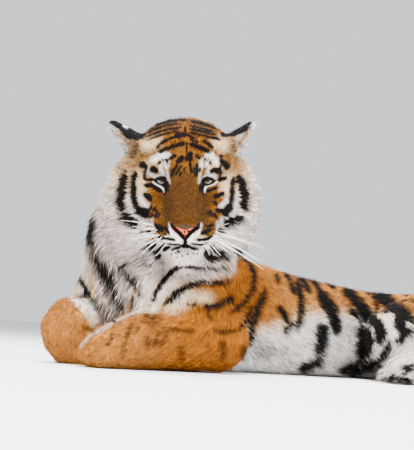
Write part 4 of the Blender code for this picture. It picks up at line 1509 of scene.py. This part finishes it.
def nose_leather():
    """The nose's solid, remeshed finely, with its nostrils pressed in and its colours, the nostrils black as
    painted shade.
    """
    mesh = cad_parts["nose"].data.copy()
    bm = bmesh.new()
    bm.from_mesh(mesh)
    bmesh.ops.remove_doubles(bm, verts=bm.verts, dist=WELD)
    bm.to_mesh(mesh)
    bm.free()
    mesh = remeshed(mesh, NOSE_GRID)
    points = spread(points_of(mesh), edges_of(mesh), 10)
    set_points(mesh, points)
    ways = normals_of(mesh)
    spot = to_head(points)
    line = np.array(NOSTRILS)
    dents = np.zeros(len(points))
    for hand in (1, -1):
        places = np.stack([np.interp(np.linspace(0, 2, 20), range(3), line[:, k]) for k in (0, 1)], axis=1)
        off = np.stack([spot[:, 0] * hand, spot[:, 2]], axis=1)
        away = np.linalg.norm(off[:, None] - places[None], axis=2).min(1)
        dents = np.maximum(dents, np.exp(-((away / NOSTRIL_HALF_WIDTH) ** 2)))
    dents *= spot[:, 1] > NOSE_FRONT
    points = points - ways * (dents * NOSTRIL_DEPTH)[:, None]
    set_points(mesh, points)
    seen = on_plane(points)
    rim = NOSE_PINK_TOP + NOSE_PINK_RISE * np.abs(seen[:, 0] - 0.002)
    top = smooth_step(-0.0015, 0.0015, seen[:, 1] - rim)
    colour = mixed(np.tile(NOSE_PINK, (len(points), 1)), NOSE_BROWN * 0.45, top)
    colour = mixed(colour, BLACK, smooth_step(0.001, -0.001, seen[:, 1] - NOSE_SPLIT_TOP))
    beyond = np.abs(spot[:, 0]) - np.interp(spot[:, 2], [NOSE_FLOOR, *line[:, 1]], [0, *line[:, 0]])
    white = np.maximum(covered(points, white_strokes, 0.002), smooth_step(0.003, 0.005, beyond))
    colour = mixed(colour, WHITE, white)
    # the nostrils are painted black: painted shade in their openings
    colour = mixed(colour, BLACK, np.maximum(dents, covered(points, black_strokes)))
    write_colours(mesh, colour)
    mesh.polygons.foreach_set("use_smooth", np.ones(len(mesh.polygons), bool))
    return link("nose_leather", mesh)


nose = nose_leather()
nose.data.materials.clear()
nose_finish = coat_material("nose leather", 900, 0.35, 0.60, 0.35)
set_inputs(nose_finish.node_tree.nodes["Principled BSDF"], Specular_IOR_Level=0.02)
nose.data.materials.append(nose_finish)
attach(nose, "root")
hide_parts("nose")

# ---- Coat ----
# Dense winter hair in small flattened locks, pointed at root and tip and bent where they are widest, rooted
# in the skin and lying along it. Neighbouring locks lean together a little, as damp guard hair does.
LOCK_ROOT_SINK = 0.001
LOCK_FLOOR = 0.0012
LOCK_BEND = 0.42  # where a lock is widest, as a share of its length
LOCK_END = 0.97
BEND_RISE = 0.70  # how high the bend stands, as a share of the tip's rise
LOCK_THICKNESS = 0.7  # of its half width
STRAY_SHARE = 0.08  # locks that stand up out of the coat
WAY_SCATTER = 0.16
SWIRL = 0.22  # how far neighbouring stretches of coat turn from the general lie
ROLL_SCATTER = 0.35
LEAN_SHARE = 0.45  # how far the tips of long locks are drawn to their neighbours'
BARE_EDGE = -0.0030  # how near a lid's opening hair starts, as lid_opening measures it
HAIR_SHARE = 1.0
LOCKS = {
    "coat_face": 33200, "coat_crown": 29000, "coat_ruff": 30000, "coat_ears": 8000, "coat_neck": 31000,
    "coat_trunk_left": 33000, "coat_trunk_right": 24000, "coat_forelegs": 31500, "coat_hindlegs": 20000,
    "coat_tail": 8300,
}


def piece_of_skin():
    """Which coat piece each vertex of the skin belongs to."""
    name = np.array(FLESH)[part]
    spot = to_head(outline)
    piece = np.full(len(outline), "coat_neck", dtype="<U20")
    piece[name == "head"] = "coat_crown"
    piece[(name == "head") & (hair_length > 0.027)] = "coat_ruff"
    piece[(name == "head") & (spot[:, 1] > -0.015) & (hair_length < 0.016)] = "coat_face"
    piece[np.char.startswith(name, "ear")] = "coat_ears"
    spine, side = from_spine(outline)
    left = ((outline - spine) * side).sum(1) < 0
    piece[name == "trunk"] = "coat_trunk_right"
    piece[(name == "trunk") & left] = "coat_trunk_left"
    piece[np.char.startswith(name, "fore")] = "coat_forelegs"
    piece[np.char.startswith(name, "hind")] = "coat_hindlegs"
    piece[np.char.startswith(name, "tail")] = "coat_tail"
    return piece


def lock_width(length):
    """A long lock is wider."""
    return 0.0007 + 0.034 * length


skin_normals = unit(spread(normals_of(skin_mesh), edges, 1))
skin_lie = unit(lie - skin_normals * (lie * skin_normals).sum(1, keepdims=True))
piece_at = piece_of_skin()
nose_spot = to_head(outline)
nose_half = 0.034 + (nose_spot[:, 2] + 0.067) * 0.5
under_nose = (nose_spot[:, 1] > NOSE_FRONT) & (np.abs(nose_spot[:, 0]) < nose_half)
under_nose &= (nose_spot[:, 2] > -0.105) & (nose_spot[:, 2] < -0.050)
bald = (opening > BARE_EDGE) | (skin_points[:, 2] < 0.0035) | under_nose


def lock_roots(piece, count, rng):
    """Triangles and corner shares of random roots, closer together where the hair is short."""
    own = piece_at[triangles[:, 0]] == piece
    own &= ~bald[triangles].any(1)
    mine = triangles[own]
    corners = skin_points[mine]
    area = np.linalg.norm(np.cross(corners[:, 1] - corners[:, 0], corners[:, 2] - corners[:, 0]), axis=1)
    length = hair_length[mine].mean(1)
    weight = area / (length * lock_width(length))
    chosen = rng.choice(len(mine), count, p=weight / weight.sum())
    shares = rng.dirichlet((1, 1, 1), count)
    return mine[chosen], shares


def at_roots(values, corners, shares):
    """Values of the skin's vertices, read at the roots."""
    picked = values[corners]
    return (picked * shares[..., None]).sum(1) if values.ndim == 2 else (picked * shares).sum(1)


def in_cells(roots, size):
    """The number of the grid cell that each root falls in."""
    _, number = np.unique(np.floor(roots / size).astype(int), axis=0, return_inverse=True)
    return number.reshape(-1)


def bundled(roots, lie_here, size):
    """For each lock, the mean root and direction of the locks in its cell of a grid."""
    number = in_cells(roots, size)
    count = np.bincount(number)
    means = [np.bincount(number, column) / count for column in (*roots.T, *lie_here.T)]
    joined = np.stack(means, axis=1)[number]
    return joined[:, :3], unit(joined[:, 3:])


UNWRAP_SHARE = 0.10
LOCK_PATCH = 0.003  # how much of the unwrap each lock takes
PATCH_PLACES = np.array([(0, -0.5), (-0.5, 0), (0.5, 0), (0, 0.1), (0, 0.5)]) * LOCK_PATCH
plain_skin = thinned(skin_mesh.copy(), np.ones(len(outline)), UNWRAP_SHARE)
plain_points = points_of(plain_skin)
plain_faces = faces_of(plain_skin)
skin_tree = BVHTree.FromPolygons(skin_points.tolist(), triangles.tolist())
plain_middles = plain_points[plain_faces].mean(1)
owner_at = np.array([triangles[skin_tree.find_nearest(p)[2], 0] for p in plain_middles.tolist()])


def unwrapped(piece):
    """The skin under one piece of coat, flattened: its tree, its corners and their places on the map."""
    mesh = bpy.data.meshes.new("unwrap")
    own = plain_faces[piece_at[owner_at] == piece]
    used, faces = np.unique(own, return_inverse=True)
    faces = faces.reshape(-1, 3)
    mesh.from_pydata(plain_points[used].tolist(), [], faces.tolist())
    flat = link("unwrap", mesh)
    bpy.context.view_layer.objects.active = flat
    bpy.ops.object.mode_set(mode="EDIT")
    bpy.ops.mesh.select_all(action="SELECT")
    bpy.ops.uv.smart_project(angle_limit=math.radians(66), island_margin=0.004)
    bpy.ops.object.mode_set(mode="OBJECT")
    places = np.empty(len(mesh.loops) * 2, np.float32)
    mesh.uv_layers[0].data.foreach_get("uv", places)
    corners = plain_points[used][faces]
    tree = BVHTree.FromPolygons(plain_points[used].tolist(), faces.tolist())
    bpy.data.objects.remove(flat)
    return tree, corners, places.reshape(-1, 3, 2)


def on_unwrap(roots, piece):
    """Where each root lies on the unwrap of its own stretch of skin."""
    tree, corners, places = unwrapped(piece)
    hits = [tree.find_nearest(p) for p in roots.tolist()]
    face = np.array([hit[2] for hit in hits])
    spot = np.array([hit[0] for hit in hits])
    a, b, c = corners[face].transpose(1, 0, 2)
    normal = np.cross(b - a, c - a)
    size = np.maximum((normal * normal).sum(1), 1e-18)
    second = (np.cross(c - spot, a - spot) * normal).sum(1) / size
    third = (np.cross(a - spot, b - spot) * normal).sum(1) / size
    shares = np.clip(np.stack([1 - second - third, second, third], axis=1), 0, 1)
    return (places[face] * shares[..., None]).sum(1)


def lock_points(root, up, way, length, depth, seed, rng):
    """Five corners of each lock: its root, the two sides and the ridge of its bend, and its tip."""
    count = len(root)
    gathered, shared_way = bundled(root, way, np.median(length) * 0.45 + 0.003)
    swirl = np.stack([waves(root, 0.06 + length.mean(), seed + k) for k in range(3)], axis=1)
    way = way + rng.normal(0, WAY_SCATTER, (count, 3)) + SWIRL * swirl
    way = unit(way - up * (way * up).sum(1, keepdims=True))
    across = np.cross(way, up)
    roll = rng.normal(0, ROLL_SCATTER, (count, 1))
    across, lift = across * np.cos(roll) + up * np.sin(roll), up * np.cos(roll) - across * np.sin(roll)
    half = (lock_width(length) * rng.uniform(0.8, 1.2, count) / 2)[:, None]
    stray = np.where(rng.random(count) < STRAY_SHARE, 1.3 + 0.004 / depth, 1.0)
    rise = (depth * rng.uniform(0.70, 1.08, count) * stray)[:, None]
    long = length[:, None]
    ground = root - up * LOCK_ROOT_SINK
    bend = root + way * long * LOCK_BEND + up * rise * BEND_RISE
    pull = np.clip(long / 0.030 - 0.25, 0, 1) * LEAN_SHARE
    end = root + way * long * LOCK_END + up * rise
    end = end + (gathered + shared_way * long * LOCK_END + up * rise - end) * pull
    sides = (bend - across * half, bend + across * half, bend + lift * half * LOCK_THICKNESS)
    return way, (ground, bend, end), np.stack([ground, *sides, end], axis=1)


def lock_mesh(name, root, points):
    """One mesh of all the locks of a piece, each a closed body of six triangles, with their map."""
    count = len(points)
    shape = np.array([(0, 2, 1), (0, 1, 3), (0, 3, 2), (4, 1, 2), (4, 3, 1), (4, 2, 3)])
    faces = (np.arange(count)[:, None, None] * 5 + shape[None]).reshape(-1, 3)
    mesh = bpy.data.meshes.new(name)
    mesh.vertices.add(count * 5)
    mesh.loops.add(len(faces) * 3)
    mesh.polygons.add(len(faces))
    mesh.vertices.foreach_set("co", points.astype(np.float32).ravel())
    mesh.loops.foreach_set("vertex_index", faces.astype(np.int32).ravel())
    mesh.polygons.foreach_set("loop_start", np.arange(0, len(faces) * 3, 3, dtype=np.int32))
    mesh.polygons.foreach_set("use_smooth", np.ones(len(faces), bool))
    mesh.update(calc_edges=True)
    patch = on_unwrap(root, name)[:, None] + PATCH_PLACES
    map_places = patch.reshape(-1, 2)[faces.ravel()]
    mesh.uv_layers.new(name="OFBake").data.foreach_set("uv", map_places.astype(np.float32).ravel())
    return mesh


def fleck_scale(length):
    """What a lock's draw for a fleck is multiplied by: the longer the hair, the fewer its flecks."""
    return np.where(length < 0.011, 1, np.where(length < 0.030, 2.6, 9))


# Along each lock the colour is darker at the root, as painted shade down in the coat, and lighter at the tip,
# as painted light on its top.
ROOT_SHADE = 0.48
BODY_ROOT_SHADE = 0.70  # roots on trunk and hind legs, where the coat is more open
BEND_SHADE = 0.92
TIP_LIGHT = 1.12
DUSKY_TONE = (0.62, 0.58, 0.55)
DARK_FLECK_TONE = 0.35
PALE_FLECK_TONE = 1.6
BRIGHTEST = 0.96


def lock_colours(name, places, shift, pale, part_here, up, root, length, rng):
    """Lock colours: painted shade at the root and painted light at the tip, with dusky and flecked locks
    among them.
    """
    count = len(root)
    strand = in_cells(root, 0.0025 + 0.14 * np.median(length))
    strand_tone = 1 + rng.normal(0, 1, strand.max() + 1)[strand] * (0.15 + 2.6 * length)
    shade = (rng.uniform(0.84, 1.16, count) * np.clip(strand_tone, 0.45, 1.35))[:, None]
    dusky = rng.random(count) < 0.12 + 8 * length
    fleck = rng.random(strand.max() + 1)[strand] * fleck_scale(length)
    ground, bend, end = places
    root_shade = BODY_ROOT_SHADE if name.startswith(("coat_trunk", "coat_hind")) else ROOT_SHADE
    bands = []
    low_place = ground + (bend - ground) * 0.5
    for place, tone in ((low_place, root_shade), (bend, BEND_SHADE), (end, TIP_LIGHT)):
        colour = coat_colour(place + shift, pale, part_here, up)
        colour[dusky & (colour[:, 2] > 0.35)] *= DUSKY_TONE
        colour[(fleck < 0.20) & (colour[:, 2] < 0.10)] *= DARK_FLECK_TONE
        colour[(fleck > 0.84) & (fleck < 1) & (colour[:, 2] < 0.10)] *= PALE_FLECK_TONE
        bands.append(np.minimum(colour * shade * tone, BRIGHTEST))
    low, middle_band, high = bands
    return np.stack([low, middle_band, middle_band, middle_band, high], axis=1).reshape(-1, 3)


def coat_piece(name, count, seed):
    """One piece of the coat, with all its locks."""
    rng = np.random.default_rng(seed)
    corners, shares = lock_roots(name, count, rng)
    root = at_roots(skin_points, corners, shares)
    up = unit(at_roots(skin_normals, corners, shares))
    way = at_roots(skin_lie, corners, shares)
    length = at_roots(hair_length, corners, shares) * rng.uniform(0.75, 1.2, count)
    depth = at_roots(coat_depth, corners, shares)
    way, places, points = lock_points(root, up, way, length, depth, seed, rng)
    points[..., 2] = np.maximum(points[..., 2], LOCK_FLOOR)
    mesh = lock_mesh(name, root, points)
    shift = way * (rng.normal(0, 0.07, count) * length)[:, None]
    pale = at_roots(paleness, corners, shares)
    write_colours(mesh, lock_colours(name, places, shift, pale, part[corners[:, 0]], up, root, length, rng))
    made = link(name, mesh)
    mesh.materials.append(coat_finish)
    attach(made, "root")


coat_finish = coat_material("coat", 500, 0.35, 0.80, 0)
for number, (name, count) in enumerate(LOCKS.items()):
    coat_piece(name, int(count * HAIR_SHARE), 40 + number)

# ---- Whiskers ----
# Long white whiskers on each pad, sweeping out, back and down, with two over each eye. Each is a stiff
# tapered hair: a tube drawn along a bent line, thickest at its root.
# Root x, y and tip x, y in mm, right and up of the head's origin.
WHISKERS = [
    (-81, -112, -166, -113), (-78, -115, -136, -111), (-75, -120, -121, -131), (-77, -123, -155, -143),
    (-74, -130, -126, -151), (-71, -135, -163, -175), (-67, -140, -121, -165), (-69, -146, -126, -189),
    (-61, -147, -103, -185), (-56, -152, -97, -202), (-50, -154, -77, -185), (-44, -156, -73, -201),
    (-65, -139, -149, -164), (-71, -126, -136, -126), (-58, -143, -116, -204), (86, -112, 129, -91),
    (83, -118, 152, -110), (86, -126, 184, -154), (83, -133, 222, -204), (81, -138, 201, -185),
    (79, -141, 197, -230), (76, -144, 207, -256), (75, -147, 178, -230), (71, -149, 155, -210),
    (66, -151, 123, -201), (60, -154, 94, -201), (55, -156, 78, -194), (49, -157, 66, -198),
    (78, -130, 168, -172), (73, -139, 184, -217), (-52, 39, -71, 72), (-47, 32, -58, 71), (55, 39, 78, 74),
    (52, 32, 63, 72),
]
WHISKER_POINTS = 12
WHISKER_SWEEP = 0.35  # how far a tip goes back, as a share of the whisker's length
WHISKER_BOW = 0.16
WHISKER_THICKNESS = 0.0018
WHISKER_TIP = 0.35  # the tip's thickness, as a share of the root's


def whisker_lines():
    """Bent lines from the pads, as one mesh of edges."""
    points, links = [], []
    share = np.linspace(0, 1, WHISKER_POINTS)[:, None]
    for x, y, tip_x, tip_y in WHISKERS:
        plane = ORIGIN + (x * VIEW_RIGHT + y * VIEW_TOP) / 1000
        start = laid(skin_tree, viewpoint, [plane])
        if not len(start):
            continue
        reach = ((tip_x - x) * VIEW_RIGHT + (tip_y - y) * VIEW_TOP) / 1000
        length = np.linalg.norm(reach)
        end = start[0] + reach - AXES[:, 1] * length * WHISKER_SWEEP
        bow = (AXES[:, 1] + 0.5 * VIEW_TOP) * length * WHISKER_BOW
        line = start[0] + (end - start[0]) * share + bow * 4 * share * (1 - share)
        first = len(points)
        points += line.tolist()
        links += [(first + i, first + i + 1) for i in range(WHISKER_POINTS - 1)]
    mesh = bpy.data.meshes.new("whiskers")
    mesh.from_pydata(points, links, [])
    return mesh


def whisker_tree(finish):
    """Geometry nodes that turn each line of edges into a tapered hair, and the values of their inputs."""
    tree = bpy.data.node_groups.new("whiskers", "GeometryNodeTree")
    tree.interface.new_socket("Geometry", in_out="INPUT", socket_type="NodeSocketGeometry")
    thickness = tree.interface.new_socket("Root thickness", in_out="INPUT", socket_type="NodeSocketFloat")
    taper = tree.interface.new_socket("Tip share", in_out="INPUT", socket_type="NodeSocketFloat")
    tree.interface.new_socket("Geometry", in_out="OUTPUT", socket_type="NodeSocketGeometry")
    nodes, links = tree.nodes, tree.links
    start, end = nodes.new("NodeGroupInput"), nodes.new("NodeGroupOutput")
    curve = nodes.new("GeometryNodeMeshToCurve")
    links.new(start.outputs["Geometry"], curve.inputs["Mesh"])
    along = nodes.new("GeometryNodeSplineParameter")
    shape = nodes.new("ShaderNodeMapRange")
    links.new(along.outputs["Factor"], shape.inputs["Value"])
    shape.inputs["To Min"].default_value = 1.0
    links.new(start.outputs["Tip share"], shape.inputs["To Max"])
    size = nodes.new("ShaderNodeMath")
    size.operation = "MULTIPLY"
    links.new(shape.outputs["Result"], size.inputs[0])
    links.new(start.outputs["Root thickness"], size.inputs[1])
    profile = nodes.new("GeometryNodeCurvePrimitiveCircle")
    set_inputs(profile, Resolution=5, Radius=0.5)
    tube = nodes.new("GeometryNodeCurveToMesh")
    links.new(curve.outputs["Curve"], tube.inputs["Curve"])
    links.new(profile.outputs["Curve"], tube.inputs["Profile Curve"])
    links.new(size.outputs["Value"], tube.inputs["Scale"])
    tube.inputs["Fill Caps"].default_value = True
    real = nodes.new("GeometryNodeRealizeInstances")
    links.new(tube.outputs["Mesh"], real.inputs["Geometry"])
    paint = nodes.new("GeometryNodeSetMaterial")
    paint.inputs["Material"].default_value = finish
    links.new(real.outputs["Geometry"], paint.inputs["Geometry"])
    links.new(paint.outputs["Geometry"], end.inputs["Geometry"])
    return tree, {thickness.identifier: WHISKER_THICKNESS, taper.identifier: WHISKER_TIP}


def whisker_material():
    made, nodes, links, shader = new_finish("whisker", Roughness=0.45)
    tone = toned(nodes, 200, 0.15)
    set_inputs(tone, Colour=(0.90, 0.88, 0.85, 1))
    links.new(tone.outputs["Colour"], shader.inputs["Base Color"])
    return made


lines = link("whiskers", whisker_lines())
tree, sizes = whisker_tree(whisker_material())
grow = lines.modifiers.new("grow", "NODES")
grow.node_group = tree
for identifier, value in sizes.items():
    grow[identifier] = value
whiskers = link("whiskers", evaluated_mesh(lines))
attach(whiskers, "root")
